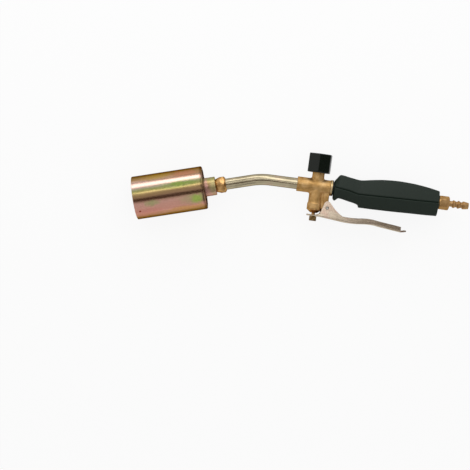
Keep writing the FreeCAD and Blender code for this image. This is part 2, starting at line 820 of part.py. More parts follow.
def make_lever():
    """Pressed channel: two ears on the pivot, a forked tab on the stem and a long arm."""
    body = new_body("lever")
    end_x, end_y = "lever_reach", "-lever_end_drop"
    web_run = [
        ("heel_at", "-heel_drop"), ("via", "(heel_at + sway_at) / 2", "-dip_drop"),
        ("sway_at", "-sway_drop"), ("via", "hump_at", "-hump_drop"), ("slope_at", "-slope_drop"),
    ]
    front = "pivot_ahead - ear_rise"
    outline = [
        ("-tab_reach", "-tab_bottom"), (front, "-tab_bottom"),
        *web_run,
        (end_x, end_y), (end_x, lever_top("lever_end_drop")),
        ("slope_at", lever_top("slope_drop")), ("via", "hump_at", lever_top("hump_drop")),
        ("sway_at", lever_top("sway_drop")), ("via", "(heel_at + sway_at) / 2", lever_top("dip_drop")),
        ("heel_at", lever_top("heel_drop")),
        ("via", "pivot_ahead + 1.25 * ear_rise", "-pivot_drop - lever_sheet / 2"),
        ("pivot_ahead + ear_crown", "-pivot_drop + ear_rise - ear_crown / 2"),
        ("via", "pivot_ahead", "-pivot_drop + ear_rise"),
        ("pivot_ahead - ear_crown", "-pivot_drop + ear_rise - ear_crown / 2"),
        (front, "-tab_bottom + 2 * lever_sheet"),
        ("pivot_ahead - 2 * ear_rise + ear_crown", "-tab_bottom + lever_sheet"),
        ("-tab_reach", "-tab_bottom + lever_sheet"),
    ]
    add_pad(body, "channel", draw(new_sketch(body, "outline"), outline), "lever_width", middle=True)
    doc.recompute()
    pressed = dress(body, "Fillet", "pressed_corners", edge_names(body, under_arm))
    pressed.setExpression("Radius", formula("lever_round"))
    doc.recompute()
    above = "-pivot_drop + 2 * ear_rise"
    inside_run = [
        tuple(list(corner[:-1]) + [f"{corner[-1]} + lever_sheet"]) for corner in web_run
    ]
    inside = [
        ("-tab_reach - 1", "-tab_bottom + lever_sheet"), (front, "-tab_bottom + lever_sheet"),
        *inside_run,
        (f"{end_x} + 1", f"{end_y} + lever_sheet - (lever_end_drop - slope_drop)"
                         " / (lever_reach - slope_at)"),
        (f"{end_x} + 1", above), ("-tab_reach - 1", above),
    ]
    cut_through(body, "inside", draw(new_sketch(body, "inside_outline"), inside), middle=True,
                length="lever_inner")
    tongue = draw(new_sketch(body, "tongue_outline"), [
        (end_x, end_y), (f"{end_x} + tongue_length", f"{end_y} + tongue_rise"),
        (f"{end_x} + tongue_length", f"{end_y} + tongue_rise + lever_sheet"),
        (end_x, f"{end_y} + lever_sheet"),
    ])
    add_pad(body, "tongue", tongue, "lever_inner", middle=True)
    slot = new_sketch(body, "fork_outline", "XZ_Plane")
    half = "(stem_radius + free_clearance)"
    draw(slot, [
        ("-tab_reach - 1", f"-{half}"), ("0", f"-{half}"), ("via", half, "0"), ("0", half),
        ("-tab_reach - 1", half),
    ])
    cut_through(body, "fork", slot, middle=True)
    pivot = draw_circle(new_sketch(body, "pivot"), "pivot_radius + running_clearance",
                        "pivot_ahead", "-pivot_drop")
    cut_through(body, "pivot_bore", pivot, middle=True)
    place(body, "valve_x")


def make_lever_pin():
    body = new_body("lever_pin")
    sketch = draw_circle(new_sketch(body, "shank"), "pivot_radius")
    add_pad(body, "pin", sketch, "lever_width + 2 * pivot_proud", middle=True)
    doc.recompute()
    ends = dress(body, "Chamfer", "ends", edge_names(body, lambda edge: edge.isClosed()))
    ends.setExpression("Size", formula("pivot_chamfer"))
    place(body, "pivot_x", "-pivot_drop")


# ---- grip and hose end ----


def make_grip_half(label, edge):
    """Half of the grip, from the side ridge to the top or the bottom edge."""
    body = new_body(label)
    sections = []
    for name in grip_sections:
        ridge, reach = f"grip_{name}_ridge", f"grip_{name}_{edge}"
        half = f"grip_{name}_half"
        sketch = new_sketch(body, f"{name}_section", "YZ_Plane", f"grip_{name}_at")
        draw(sketch, [
            (ridge, f"-{half}"), (ridge, half),
            (reach, f"{half} - grip_bevel"), (reach, f"-({half} - grip_bevel)"),
        ])
        sections.append(sketch)
    made = feature(body, "AdditiveLoft", "loft", sections[0])
    made.Sections = sections[1:]
    made.Ruled = True
    doc.recompute()
    bore = draw_circle(new_sketch(body, "bore", "YZ_Plane"), "supply_radius")
    cut_through(body, "tube_bore", bore, reverse=True)
    place(body, "valve_x + rear_reach + collar_length")


def make_rear_collar():
    """Flanged ring between the valve and the grip."""
    flange_end, end = "rear_reach + collar_flange", "rear_reach + collar_length"
    turned("rear_collar", [
        ("rear_reach", "supply_radius"), (end, "supply_radius"), (end, "collar_neck"),
        (flange_end, "collar_neck"), (flange_end, "collar_radius"), ("rear_reach", "collar_radius"),
    ])


def make_supply_tube():
    turned("supply_tube", tube_path("supply_inner", "supply_radius", "supply_front", "supply_back"))


def make_tail_washer():
    """Shouldered washer: its narrow end keeps the rim clear of the grip."""
    end, shoulder = "tail_face - washer_thickness", "tail_face - washer_rim"
    turned("tail_washer", [
        (end, "supply_radius"), ("tail_face", "supply_radius"), ("tail_face", "washer_radius"),
        (shoulder, "washer_radius"), (shoulder, "washer_neck"), (end, "washer_neck"),
    ], x="0")


def make_hose_tail():
    """Hexagon screwed on the supply tube, then three barbs for the hose."""
    body = new_body("hose_tail")
    sketch = new_sketch(body, "hexagon", "YZ_Plane", "tail_face")
    add_pad(body, "hex", draw(sketch, hexagon("tail_across")), "tail_hex_length")
    barbs = []
    for count in (2, 1, 0):
        land = f"-{count} * barb_pitch - barb_land / 2"
        barbs += [
            (f"{land} - barb_back", "barb_root"), (land, "barb_radius"),
            (f"{land} + barb_land", "barb_radius"),
        ]
        if count:
            barbs.append((f"{land} + barb_land + barb_ramp", "barb_root"))
    add_turned(body, "barbs", [
        ("-barb_reach", "0"), ("-barb_reach", "barb_root"), *barbs,
        ("tail_tip", "tail_tip_radius"), ("tail_tip", "0"),
    ])
    cut_turned(body, "bore", [
        ("tail_face", "0"), ("tail_tip", "0"), ("tail_tip", "tail_bore"),
        ("tail_face + tail_socket", "tail_bore"), ("tail_face + tail_socket", "supply_radius"),
        ("tail_face", "supply_radius"),
    ])
    chamfer_hex(body, "chamfer", "-barb_reach", "tail_across", 1)
    place(body, "0")


make_burner_shell()
make_burner_back_plate()
make_burner_neck()
make_mixing_tube()
make_flame_holder()
make_gas_jet()
make_lance_nut()
make_lance_tube()
make_valve_body()
make_spindle()
make_spindle_oring()
make_gland_nut()
make_knob()
make_knob_screw()
make_plunger()
make_disc_seal()
make_valve_spring()
make_bottom_cap()
make_stem_oring()
make_adjusting_nut()
make_lever()
make_lever_pin()
make_grip_half("grip_upper", "top")
make_grip_half("grip_lower", "bottom")
make_rear_collar()
make_supply_tube()
make_tail_washer()
make_hose_tail()
doc.recompute()

for item in doc.Objects:
    if "Invalid" in item.State or "Error" in item.State:
        raise RuntimeError(f"{item.Label}: {item.State}")

bodies = [item for item in doc.Objects if item.TypeId == "PartDesign::Body"]
for body in bodies:
    if body.Shape.isNull() or not body.Shape.isValid() or len(body.Shape.Solids) != 1:
        raise RuntimeError(f"{body.Label} is not one valid solid")

os.makedirs("parts", exist_ok=True)
for body in bodies:
    body.Shape.exportStep(f"parts/{body.Label}.step")
    box = body.Shape.BoundBox
    print(f"{body.Label:18s} {body.Shape.Volume:10.1f} mm3  x {box.XMin:7.1f} {box.XMax:7.1f}"
          f"  y {box.YMin:6.1f} {box.YMax:6.1f}  z {box.ZMin:6.1f} {box.ZMax:6.1f}")
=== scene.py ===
import json
import math
import bmesh
import bpy
from mathutils import Matrix, Vector


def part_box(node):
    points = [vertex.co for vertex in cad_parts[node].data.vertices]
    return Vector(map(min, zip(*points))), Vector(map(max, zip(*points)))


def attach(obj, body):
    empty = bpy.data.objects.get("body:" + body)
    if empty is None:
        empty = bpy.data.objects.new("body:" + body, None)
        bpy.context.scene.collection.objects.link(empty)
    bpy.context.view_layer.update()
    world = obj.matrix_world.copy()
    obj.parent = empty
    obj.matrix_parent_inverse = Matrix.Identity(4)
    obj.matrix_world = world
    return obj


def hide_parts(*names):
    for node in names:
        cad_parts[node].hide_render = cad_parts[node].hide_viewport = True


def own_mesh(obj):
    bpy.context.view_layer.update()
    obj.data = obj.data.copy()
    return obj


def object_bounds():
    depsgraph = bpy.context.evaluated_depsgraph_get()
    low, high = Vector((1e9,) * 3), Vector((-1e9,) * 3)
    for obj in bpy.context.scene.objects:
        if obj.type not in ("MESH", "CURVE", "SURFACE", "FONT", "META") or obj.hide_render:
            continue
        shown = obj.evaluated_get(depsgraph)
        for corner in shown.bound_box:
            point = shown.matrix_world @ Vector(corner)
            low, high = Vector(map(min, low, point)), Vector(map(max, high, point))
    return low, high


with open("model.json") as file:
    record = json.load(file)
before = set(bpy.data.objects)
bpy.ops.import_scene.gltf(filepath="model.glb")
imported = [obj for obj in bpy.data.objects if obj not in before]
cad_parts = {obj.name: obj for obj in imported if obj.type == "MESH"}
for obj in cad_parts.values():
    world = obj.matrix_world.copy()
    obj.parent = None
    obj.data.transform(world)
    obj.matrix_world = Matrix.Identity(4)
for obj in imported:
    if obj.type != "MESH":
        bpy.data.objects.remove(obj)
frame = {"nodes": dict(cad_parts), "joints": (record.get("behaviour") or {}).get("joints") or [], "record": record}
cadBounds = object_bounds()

# A propane torch that lies on its side. Blender works in metres, the dictionaries hold millimetres.
mm = 0.001
scene = bpy.context.scene
scene.view_settings.view_transform = "Standard"
cadNodes = frame["nodes"]
record = frame["record"]
bodyOf = {node: body for body, held in record["behaviour"]["bodies"].items() for node in held}
slotOf = {part["node"]: part["material_slot"] for part in record["subparts"]}
jointAt = {joint["name"]: joint.get("pos_m") for joint in frame["joints"]}
rim = next(mount for mount in record["mounts"] if mount["name"] == "burner_rim")


def frameAlong(origin, direction):  # a piece's own X points along the direction, its Z stays up
    x = Vector(direction).normalized()
    z = Vector((0, 0, 1))
    y = z.cross(x)
    return Matrix.Translation(origin) @ Matrix((x, y, z)).transposed().to_4x4()


valveCentre = Vector((jointAt["knob_turn"][0], 0, 0))
rimCentre = Vector((rim["pos_m"][0], rim["pos_m"][1], 0))
burnerFrame = frameAlong(rimCentre, [-part for part in rim["axis"]])  # from rim to valve
lineFrame = frameAlong(valveCentre, (1, 0, 0))
knobFrame = frameAlong(valveCentre, (0, 1, 0))
plungerFrame = frameAlong(valveCentre, (0, -1, 0))
tailFrame = Matrix.Identity(4)


def toLinear(hexCode):
    channels = [int(hexCode[i:i + 2], 16) / 255 for i in (0, 2, 4)]
    return [c / 12.92 if c <= 0.04045 else ((c + 0.055) / 1.055) ** 2.4 for c in channels] + [1.0]


def addNode(tree, kind, settings=None, inputs=None):  # inputs are values or other nodes' sockets
    node = tree.nodes.new(kind)
    for name, value in (settings or {}).items():
        if name == "stops":  # of a colour ramp, which starts with two
            ramp = node.color_ramp.elements
            while len(ramp) < len(value):
                ramp.new(1.0)
            for stop, (place, hexCode) in zip(ramp, value):
                stop.position = place
                stop.color = toLinear(hexCode)
        else:
            setattr(node, name, value)
    for name, value in (inputs or {}).items():
        if isinstance(value, bpy.types.NodeSocket):
            tree.links.new(value, node.inputs[name])
        else:
            node.inputs[name].default_value = value
    return node


def bareTree(owner):  # the emptied node tree of a material or the world
    owner.use_nodes = True
    owner.node_tree.nodes.clear()
    return owner.node_tree


def linkPiece(name, mesh):
    piece = bpy.data.objects.new(name, mesh)
    scene.collection.objects.link(piece)
    return piece


photoCamera = {
    "height": 1175.0,  # above the gas line, straight over the torch
    "over": (-234.2, -6.8),
    "lean": (-2.838, 1.432, 7.512),  # degrees about X, Y and Z
    "lens": 77.76,
    "sensor": 36.0,
}


def makeCamera(values):
    data = bpy.data.cameras.new("photoCamera")
    data.lens = values["lens"]
    data.sensor_width = values["sensor"]
    camera = bpy.data.objects.new("photoCamera", data)
    camera.location = Vector((*values["over"], values["height"])) * mm
    camera.rotation_euler = [math.radians(angle) for angle in values["lean"]]
    scene.collection.objects.link(camera)
    scene.camera = camera


floorValues = {
    "size": 9000.0,
    "gap": 0.1,  # under the lowest point of the torch
    "colour": "F4F4F4",
    "whiteShare": 0.88,  # how much of what is seen of the floor is plain white, without shadow
    "mirroredShare": 0.35,  # the same for what metal mirrors, which darkens where the torch lies
}


def makeFloor(values):
    half = values["size"] * mm / 2
    low = cadBounds[0].z - values["gap"] * mm
    mesh = bpy.data.meshes.new("paperFloor")
    mesh.from_pydata([(-half, -half, low), (half, -half, low), (half, half, low),
                      (-half, half, low)], [], [(0, 1, 2, 3)])
    floor = linkPiece("paperFloor", mesh)
    paper = bpy.data.materials.new("whitePaper")
    tree = bareTree(paper)
    rays = addNode(tree, "ShaderNodeLightPath")
    mirrored = addNode(tree, "ShaderNodeMath", {"operation": "MULTIPLY"}, {
        0: rays.outputs["Is Glossy Ray"], 1: values["mirroredShare"]})
    share = addNode(tree, "ShaderNodeMath", {"operation": "MULTIPLY_ADD"}, {
        0: rays.outputs["Is Camera Ray"], 1: values["whiteShare"], 2: mirrored.outputs[0]})
    matte = addNode(tree, "ShaderNodeBsdfDiffuse", None, {"Color": toLinear(values["colour"])})
    white = addNode(tree, "ShaderNodeEmission", None, {"Color": (1, 1, 1, 1), "Strength": 1.0})
    mixed = addNode(tree, "ShaderNodeMixShader", None, {
        0: share.outputs[0], 1: matte.outputs[0], 2: white.outputs[0]})
    addNode(tree, "ShaderNodeOutputMaterial", None, {"Surface": mixed.outputs[0]})
    mesh.materials.append(paper)


roomLight = {
    "colour": "FFFFFF",
    "level": 0.66,
}


def makeWorld(values):
    world = bpy.data.worlds.new("paleRoom")
    scene.world = world
    tree = bareTree(world)
    rays = addNode(tree, "ShaderNodeLightPath")
    strength = addNode(tree, "ShaderNodeMapRange", None, {
        "Value": rays.outputs["Is Camera Ray"], "To Min": values["level"], "To Max": 1.0})
    sky = addNode(tree, "ShaderNodeBackground", None,
                  {"Color": toLinear(values["colour"]), "Strength": strength.outputs[0]})
    addNode(tree, "ShaderNodeOutputWorld", None, {"Surface": sky.outputs[0]})


def hang(thing, values):  # it faces the point below, and its long side has the turn
    at, turn = Vector(values["at"]), math.radians(values["turn"])
    z = (at - Vector(values["towards"])).normalized()
    along = Vector((math.cos(turn), math.sin(turn), 0))
    y = (along - z * along.dot(z)).normalized()
    sides = Matrix((y.cross(z), y, z)).transposed()
    thing.matrix_world = Matrix.Translation(at * mm) @ sides.to_4x4()
    scene.collection.objects.link(thing)


# Softboxes hang over the torch. Sizes are across and along.
overCup, overValve = (-338, -30, 0), (-150, 0, 0)
alongCup = 16.2  # degrees, as the burner lies
softboxes = {
    "cupSoftbox": {"at": (-604, 672, 336), "towards": overCup, "size": (290, 760),
                   "turn": alongCup, "level": 1.8},
    "cupStrip": {"at": (-481, 238, 700), "towards": overCup, "size": (58, 420),
                 "turn": alongCup, "level": 2.1},
    "valveSoftbox": {"at": (-90, 560, 590), "towards": overValve, "size": (560, 420),
                     "turn": 0, "level": 1.45},
    "earSoftbox": {"at": (-138, -38, 700), "towards": overValve, "size": (150, 80),
                   "turn": 0, "level": 1.5},
}


def makeSoftboxes(values):
    for name, box in values.items():
        wide, long = [side * mm for side in box["size"]]
        data = bpy.data.lights.new(name, "AREA")
        data.shape = "RECTANGLE"
        data.size, data.size_y = wide, long
        data.energy = box["level"] * math.pi * wide * long  # the level is its brightness
        lamp = bpy.data.objects.new(name, data)
        lamp.visible_camera = False
        hang(lamp, box)


# Dark cards give polished metal and dark plastic the shading that they have in a studio.
darkCards = {
    "cupCard": {"at": (-340, -218, 700), "towards": overCup, "size": (235, 420),
                "turn": alongCup, "shade": "584030"},
    "lanceCard": {"at": (-226, -205, 702), "towards": overValve, "size": (80, 240),
                  "turn": 0, "shade": "201A12"},
    "leverCard": {"at": (36, -62, 700), "towards": overValve, "size": (230, 264),
                  "turn": 0, "shade": "4E3E34"},
    "gripCard": {"at": (84, -620, 500), "towards": (-90, 0, 0), "size": (600, 280),
                 "turn": 0, "shade": "080808"},
    "knobCard": {"at": (330, 60, 520), "towards": overValve, "size": (420, 300),
                 "turn": 90, "shade": "080808"},
}


def makeCards(values):
    for name, card in values.items():
        paint = bpy.data.materials.new(name)
        tree = bareTree(paint)
        glow = addNode(tree, "ShaderNodeEmission", None, {"Color": toLinear(card["shade"])})
        addNode(tree, "ShaderNodeOutputMaterial", None, {"Surface": glow.outputs[0]})
        wide, long = [side * mm / 2 for side in card["size"]]
        mesh = bpy.data.meshes.new(name)
        mesh.from_pydata([(-wide, -long, 0), (wide, -long, 0), (wide, long, 0),
                          (-wide, long, 0)], [], [(3, 2, 1, 0)])
        mesh.materials.append(paint)
        board = bpy.data.objects.new(name, mesh)
        board.visible_camera = board.visible_diffuse = board.visible_shadow = False
        hang(board, card)


makeCamera(photoCamera)
makeFloor(floorValues)
makeWorld(roomLight)
makeSoftboxes(softboxes)
makeCards(darkCards)
print("camera, floor and lights are set")


def newMaterial(name, shading):
    material = bpy.data.materials.new(name)
    tree = bareTree(material)
    shader = addNode(tree, "ShaderNodeBsdfPrincipled", None, shading)
    addNode(tree, "ShaderNodeOutputMaterial", None, {"Surface": shader.outputs[0]})
    places = addNode(tree, "ShaderNodeTexCoord").outputs
    return material, tree, shader, places


def newMetal(name, values):  # the edge is its colour where it is seen at a slant, set darker than the metal so that outlines get painted shade
    return newMaterial(name, {"Metallic": 1.0, "Specular Tint": toLinear(values["edge"])})


def giveClouds(tree, shader, places, values):  # soft clouds in the ramp's colours
    cloud = addNode(tree, "ShaderNodeTexNoise", None, {
        "Vector": places["Object"], "Scale": 1 / values["cloud"] / mm, "Detail": 3.0})
    colour = addNode(tree, "ShaderNodeValToRGB", {"stops": values["colours"]}, {
        0: cloud.outputs[0]})
    tree.links.new(colour.outputs[0], shader.inputs["Base Color"])


def giveTones(tree, shader, grain, values):  # from dark to pale with the grain
    colour = addNode(tree, "ShaderNodeMix", {"data_type": "RGBA"}, {
        0: grain, 6: toLinear(values["dark"]), 7: toLinear(values["pale"])})
    tree.links.new(colour.outputs[2], shader.inputs["Base Color"])


def giveSurface(tree, shader, grain, values, height=None):
    # The roughness follows the grain, and so does the bump where no height is given.
    rough = addNode(tree, "ShaderNodeMapRange", None, {
        "Value": grain, "To Min": values["rough"][0], "To Max": values["rough"][1]})
    tree.links.new(rough.outputs[0], shader.inputs["Roughness"])
    bump = addNode(tree, "ShaderNodeBump", None, {
        "Height": grain if height is None else height, "Strength": values["bump"],
        "Distance": values["relief"] * mm})
    tree.links.new(bump.outputs[0], shader.inputs["Normal"])


platingValues = {
    "across": [  # the film's colours across the cup, from its lever side to its knob side; the darker olive-brown at both ends is painted shade on the cup's flanks
        (0.0, "A88A62"), (0.06, "B48E60"), (0.14, "DDA18E"), (0.36, "D8A595"),
        (0.45, "AA866B"), (0.54, "A7875F"), (0.595, "C0A670"), (0.64, "ABA765"),
        (0.69, "B7B48C"), (0.73, "DCB9AC"), (0.81, "DDB9AA"), (0.87, "B18C62"),
        (1.0, "A0855C")],
    "reach": 25.0,  # from the middle of the cup to either side
    "edge": "8E7A62",
    "wander": 5.0,  # how far the bands stray
    "streak": (70.0, 7.0),  # length and width of a stray
    "patches": [  # place along and across, reach along and across, colour, strength
        ((68, -10), (22, 9), "C0AE84", 0.75), ((72.5, -11), (10, 7), "A9C65A", 0.85),
        ((21, -8.5), (11, 5), "B0AC7A", 0.85), ((56, 8.6), (26, 3.2), "97B04E", 0.8),
        ((30, 20.5), (22, 4), "BC9A52", 0.75), ((62, 19.5), (20, 4.5), "C9876C", 0.7),
        ((14, -18), (26, 6), "D98F80", 0.6), ((58, -19.5), (28, 3.5), "CF9A5C", 0.7),
        ((80.8, 0), (2.8, 60), "5E4630", 0.7),  # the curled edge, darkened as painted shade on its rounding
        ((84, 0), (3, 14), "DCA79C", 0.8), ((92, 0), (5, 14), "BDB47E", 0.8)],  # on the neck
    "fray": (5.0, 1.1),  # size and depth of the bays in a patch's edge
    "fade": (0.75, 1.6),  # a patch is full up to the first and ends at the second
    "specks": 1.3,
    "mottle": (0.86, 1.08),  # darkest and palest speck
    "noise": (0.3, 0.7),  # what the specks' noise mostly stays between
    "waves": (4.0, 0.5),  # how much finer than the strays, and their share of the bump
    "drawn": (0.14, 0.27),  # roughness of the drawn cup
    "turned": (0.3, 0.44),  # roughness of the turned neck
    "bump": 0.3,
    "relief": 0.12,
}


def makePlating(name, values, rough):
    # Zinc plating with a yellow chromate film: thin film colours from olive over salmon to green,
    # on drawn steel that still mirrors, a little blurred.
    material, tree, shader, places = newMetal(name, values)
    toCup = burnerFrame.inverted()
    local = addNode(tree, "ShaderNodeMapping", {"vector_type": "POINT"}, {
        "Vector": places["Object"], "Location": toCup.translation,
        "Rotation": toCup.to_euler()})
    length, width = values["streak"]
    stretched = addNode(tree, "ShaderNodeMapping", None, {
        "Vector": local.outputs[0], "Scale": (1 / length / mm, 1 / width / mm, 1 / width / mm)})
    streaks = addNode(tree, "ShaderNodeTexNoise", None, {
        "Vector": stretched.outputs[0], "Scale": 1.0, "Detail": 3.0, "Roughness": 0.55})
    wander, reach = values["wander"] * mm, values["reach"] * mm
    stray = addNode(tree, "ShaderNodeMapRange", None, {
        "Value": streaks.outputs[0], "To Min": -wander, "To Max": wander})
    split = addNode(tree, "ShaderNodeSeparateXYZ", None, {0: local.outputs[0]})
    moved = addNode(tree, "ShaderNodeMath", {"operation": "ADD"}, {
        0: split.outputs["Y"], 1: stray.outputs[0]})
    across = addNode(tree, "ShaderNodeMapRange", None, {
        "Value": moved.outputs[0], "From Min": -reach, "From Max": reach})
    film = addNode(tree, "ShaderNodeValToRGB", {"stops": values["across"]}, {
        0: across.outputs[0]})
    colour = film.outputs[0]
    clouds = addNode(tree, "ShaderNodeTexNoise", None, {
        "Vector": local.outputs[0], "Scale": 1 / (values["fray"][0] * mm), "Detail": 3.0})
    for (along, side), (long, wide), hexCode, strength in values["patches"]:
        near = addNode(tree, "ShaderNodeMapping", {"vector_type": "TEXTURE"}, {
            "Vector": local.outputs[0], "Location": (along * mm, side * mm, 0),
            "Scale": (long * mm, wide * mm, 1e6)})  # a patch has no end in depth
        away = addNode(tree, "ShaderNodeVectorMath", {"operation": "LENGTH"}, {
            0: near.outputs[0]})
        ragged = addNode(tree, "ShaderNodeMath", {"operation": "MULTIPLY_ADD"}, {
            0: clouds.outputs[0], 1: values["fray"][1], 2: away.outputs["Value"]})
        share = addNode(tree, "ShaderNodeMapRange", {"interpolation_type": "SMOOTHSTEP"}, {
            "Value": ragged.outputs[0], "From Min": values["fade"][0],
            "From Max": values["fade"][1], "To Min": strength, "To Max": 0.0})
        patched = addNode(tree, "ShaderNodeMix", {"data_type": "RGBA"}, {
            0: share.outputs[0], 6: colour, 7: toLinear(hexCode)})
        colour = patched.outputs[2]
    specks = addNode(tree, "ShaderNodeTexNoise", None, {
        "Vector": local.outputs[0], "Scale": 1 / values["specks"] / mm, "Detail": 3.0})
    mottle = addNode(tree, "ShaderNodeMapRange", None, {
        "Value": specks.outputs[0], "From Min": values["noise"][0],
        "From Max": values["noise"][1], "To Min": values["mottle"][0],
        "To Max": values["mottle"][1]})
    mottled = addNode(tree, "ShaderNodeVectorMath", {"operation": "SCALE"}, {
        0: colour, "Scale": mottle.outputs[0]})
    tree.links.new(mottled.outputs[0], shader.inputs["Base Color"])
    finer, share = values["waves"]
    waves = addNode(tree, "ShaderNodeTexNoise", None, {
        "Vector": stretched.outputs[0], "Scale": finer, "Detail": 2.0})
    height = addNode(tree, "ShaderNodeMath", {"operation": "MULTIPLY_ADD"}, {
        0: waves.outputs[0], 1: share, 2: specks.outputs[0]})
    giveSurface(tree, shader, specks.outputs[0], {**values, "rough": rough}, height.outputs[0])
    return material


castValues = {
    "grit": 0.7,
    "stain": 9.0,
    "colours": [(0.35, "BA9158"), (0.5, "D2A86C"), (0.66, "E4BE86")],
    "edge": "7A5C38",
    "corner": 2.2,  # how far the painted shade reaches out of an inner corner
    "open": (0.25, 0.75),  # how open a place is where the painted shade is full, and where it ends
    # the brown of the painted shade in inner corners
    "paintedShade": "6A4420",
    "rough": (0.42, 0.62),
    "bump": 0.35,
    "relief": 0.1,
}


def makeCastBrass(values):
    # Sand cast brass, tumbled: matte, faintly grainy, browner where the skin was left alone.
    material, tree, shader, places = newMetal("castBrass", values)
    stain = addNode(tree, "ShaderNodeTexNoise", None, {
        "Vector": places["Object"], "Scale": 1 / values["stain"] / mm, "Detail": 4.0,
        "Roughness": 0.6})
    colour = addNode(tree, "ShaderNodeValToRGB", {"stops": values["colours"]}, {
        0: stain.outputs[0]})
    # Inner corners get painted shade: the colour turns brown where ambient occlusion finds them.
    occlusion = addNode(tree, "ShaderNodeAmbientOcclusion", {"samples": 8}, {
        "Distance": values["corner"] * mm})
    unshaded = addNode(tree, "ShaderNodeMapRange", None, {
        "Value": occlusion.outputs["AO"], "From Min": values["open"][0],
        "From Max": values["open"][1]})
    cornerShaded = addNode(tree, "ShaderNodeMix", {"data_type": "RGBA"}, {
        0: unshaded.outputs[0], 6: toLinear(values["paintedShade"]), 7: colour.outputs[0]})
    tree.links.new(cornerShaded.outputs[2], shader.inputs["Base Color"])
    grit = addNode(tree, "ShaderNodeTexNoise", None, {
        "Vector": places["Object"], "Scale": 1 / values["grit"] / mm, "Detail": 3.0})
    giveSurface(tree, shader, grit.outputs[0], values)
    return material


turnedFinishes = {
    "turnedBrass": {"ring": 0.35, "cloud": 5.0, "rough": (0.2, 0.42),
                    "colours": [(0.35, "B08450"), (0.6, "DDB074")]},
    "mattBrass": {"ring": 0.4, "cloud": 6.0, "rough": (0.42, 0.58),
                  "colours": [(0.35, "B08858"), (0.6, "CCA572")]},
    "brownedBrass": {"ring": 0.3, "cloud": 3.0, "rough": (0.28, 0.46),
                     "colours": [(0.35, "6A5236"), (0.6, "957A50")]},
    "paleBrass": {"ring": 0.35, "cloud": 5.0, "rough": (0.3, 0.5),
                  "colours": [(0.35, "C2A472"), (0.6, "D8C094")]},
}
turnedAlike = {"edge": "7A5C38", "bump": 0.25, "relief": 0.04}


def makeTurnedBrass(name):
    # Brass bar turned on a lathe: fine rings from the tool, semi-bright, with a little tarnish.
    values = {**turnedAlike, **turnedFinishes[name]}
    material, tree, shader, places = newMetal(name, values)
    giveClouds(tree, shader, places, values)
    rings = addNode(tree, "ShaderNodeMapping", None, {
        "Vector": places["UV"], "Scale": (1 / values["ring"], 0.0, 0.0)})
    cut = addNode(tree, "ShaderNodeTexNoise", None, {
        "Vector": rings.outputs[0], "Scale": 1.0, "Detail": 1.0})
    giveSurface(tree, shader, cut.outputs[0], values)
    return material


nickelFinishes = {
    "satinNickel": {"cloud": 12.0, "scratch": 0.5, "rough": (0.1, 0.22), "bump": 0.02,
                    "edge": "5E5544", "colours": [(0.35, "B0A488"), (0.55, "C2B698"),
                                                  (0.7, "BFA892")]},
    "dullNickel": {"cloud": 16.0, "scratch": 0.6, "rough": (0.18, 0.3), "bump": 0.05,
                   "edge": "A89A88", "colours": [(0.35, "CDBBA0"), (0.55, "E2D2BC"),
                                                 (0.7, "D8BBA8")]},
}
nickelAlike = {"drag": 0.06, "relief": 0.03}  # drag is a scratch's width over its length


def makeNickel(name):
    # Nickel plating over steel: warm white, faintly pink in places, drawn bright on the lance and
    # duller on the pressed lever.
    values = {**nickelAlike, **nickelFinishes[name]}
    material, tree, shader, places = newMetal(name, values)
    giveClouds(tree, shader, places, values)
    scratch, drag = values["scratch"], values["drag"]
    scratches = addNode(tree, "ShaderNodeMapping", None, {
        "Vector": places["Object"],
        "Scale": (drag / scratch / mm, 1 / scratch / mm, 1 / scratch / mm)})
    scored = addNode(tree, "ShaderNodeTexNoise", None, {
        "Vector": scratches.outputs[0], "Scale": 1.0, "Detail": 2.0})
    giveSurface(tree, shader, scored.outputs[0], values)
    return material


plasticFinishes = {
    "gripPlastic": {"grain": 0.8, "dark": "0C170F", "pale": "1B2B20", "rough": (0.5, 0.7),
                    "bump": 0.35, "seamShadeReach": 2.0},
    "knobPlastic": {"grain": 0.6, "dark": "050A03", "pale": "0B140A", "rough": (0.2, 0.32),
                    "bump": 0.12, "seamShadeReach": 0.5},
    "nitrileRubber": {"grain": 0.5, "dark": "101010", "pale": "181818", "rough": (0.6, 0.75),
                      "bump": 0.2, "seamShadeReach": 0.5},
}
plasticAlike = {
    "refraction": 1.48,
    "shine": 0.4,
    "open": (0.6, 0.95),  # how open a place is where the shine starts, and where it is full; closer places get painted shade
    "relief": 0.1,
}


def makePlastic(name):
    # Moulded from an etched tool: a fine even grain, which is drawn coarser than it is so that
    # it shows. Seams and inner corners get painted shade: their shine is taken away where ambient occlusion finds
    # them.
    values = {**plasticAlike, **plasticFinishes[name]}
    material, tree, shader, places = newMaterial(name, {"IOR": values["refraction"]})
    occlusion = addNode(tree, "ShaderNodeAmbientOcclusion", {"samples": 8}, {
        "Distance": values["seamShadeReach"] * mm})
    shine = addNode(tree, "ShaderNodeMapRange", None, {
        "Value": occlusion.outputs["AO"], "From Min": values["open"][0],
        "From Max": values["open"][1], "To Max": values["shine"]})
    tree.links.new(shine.outputs[0], shader.inputs["Specular IOR Level"])
    grain = addNode(tree, "ShaderNodeTexNoise", None, {
        "Vector": places["Object"], "Scale": 1 / values["grain"] / mm, "Detail": 2.0})
    giveTones(tree, shader, grain.outputs[0], values)
    giveSurface(tree, shader, grain.outputs[0], values)
    return material


steelFinishes = {
    "heatDarkenedSteel": {"mottle": 4.0, "dark": "4A423C", "pale": "7A6C60",
                          "rough": (0.4, 0.6)},
    "brightSteel": {"mottle": 3.0, "dark": "9C9992", "pale": "C4C1B8", "rough": (0.22, 0.34)},
}


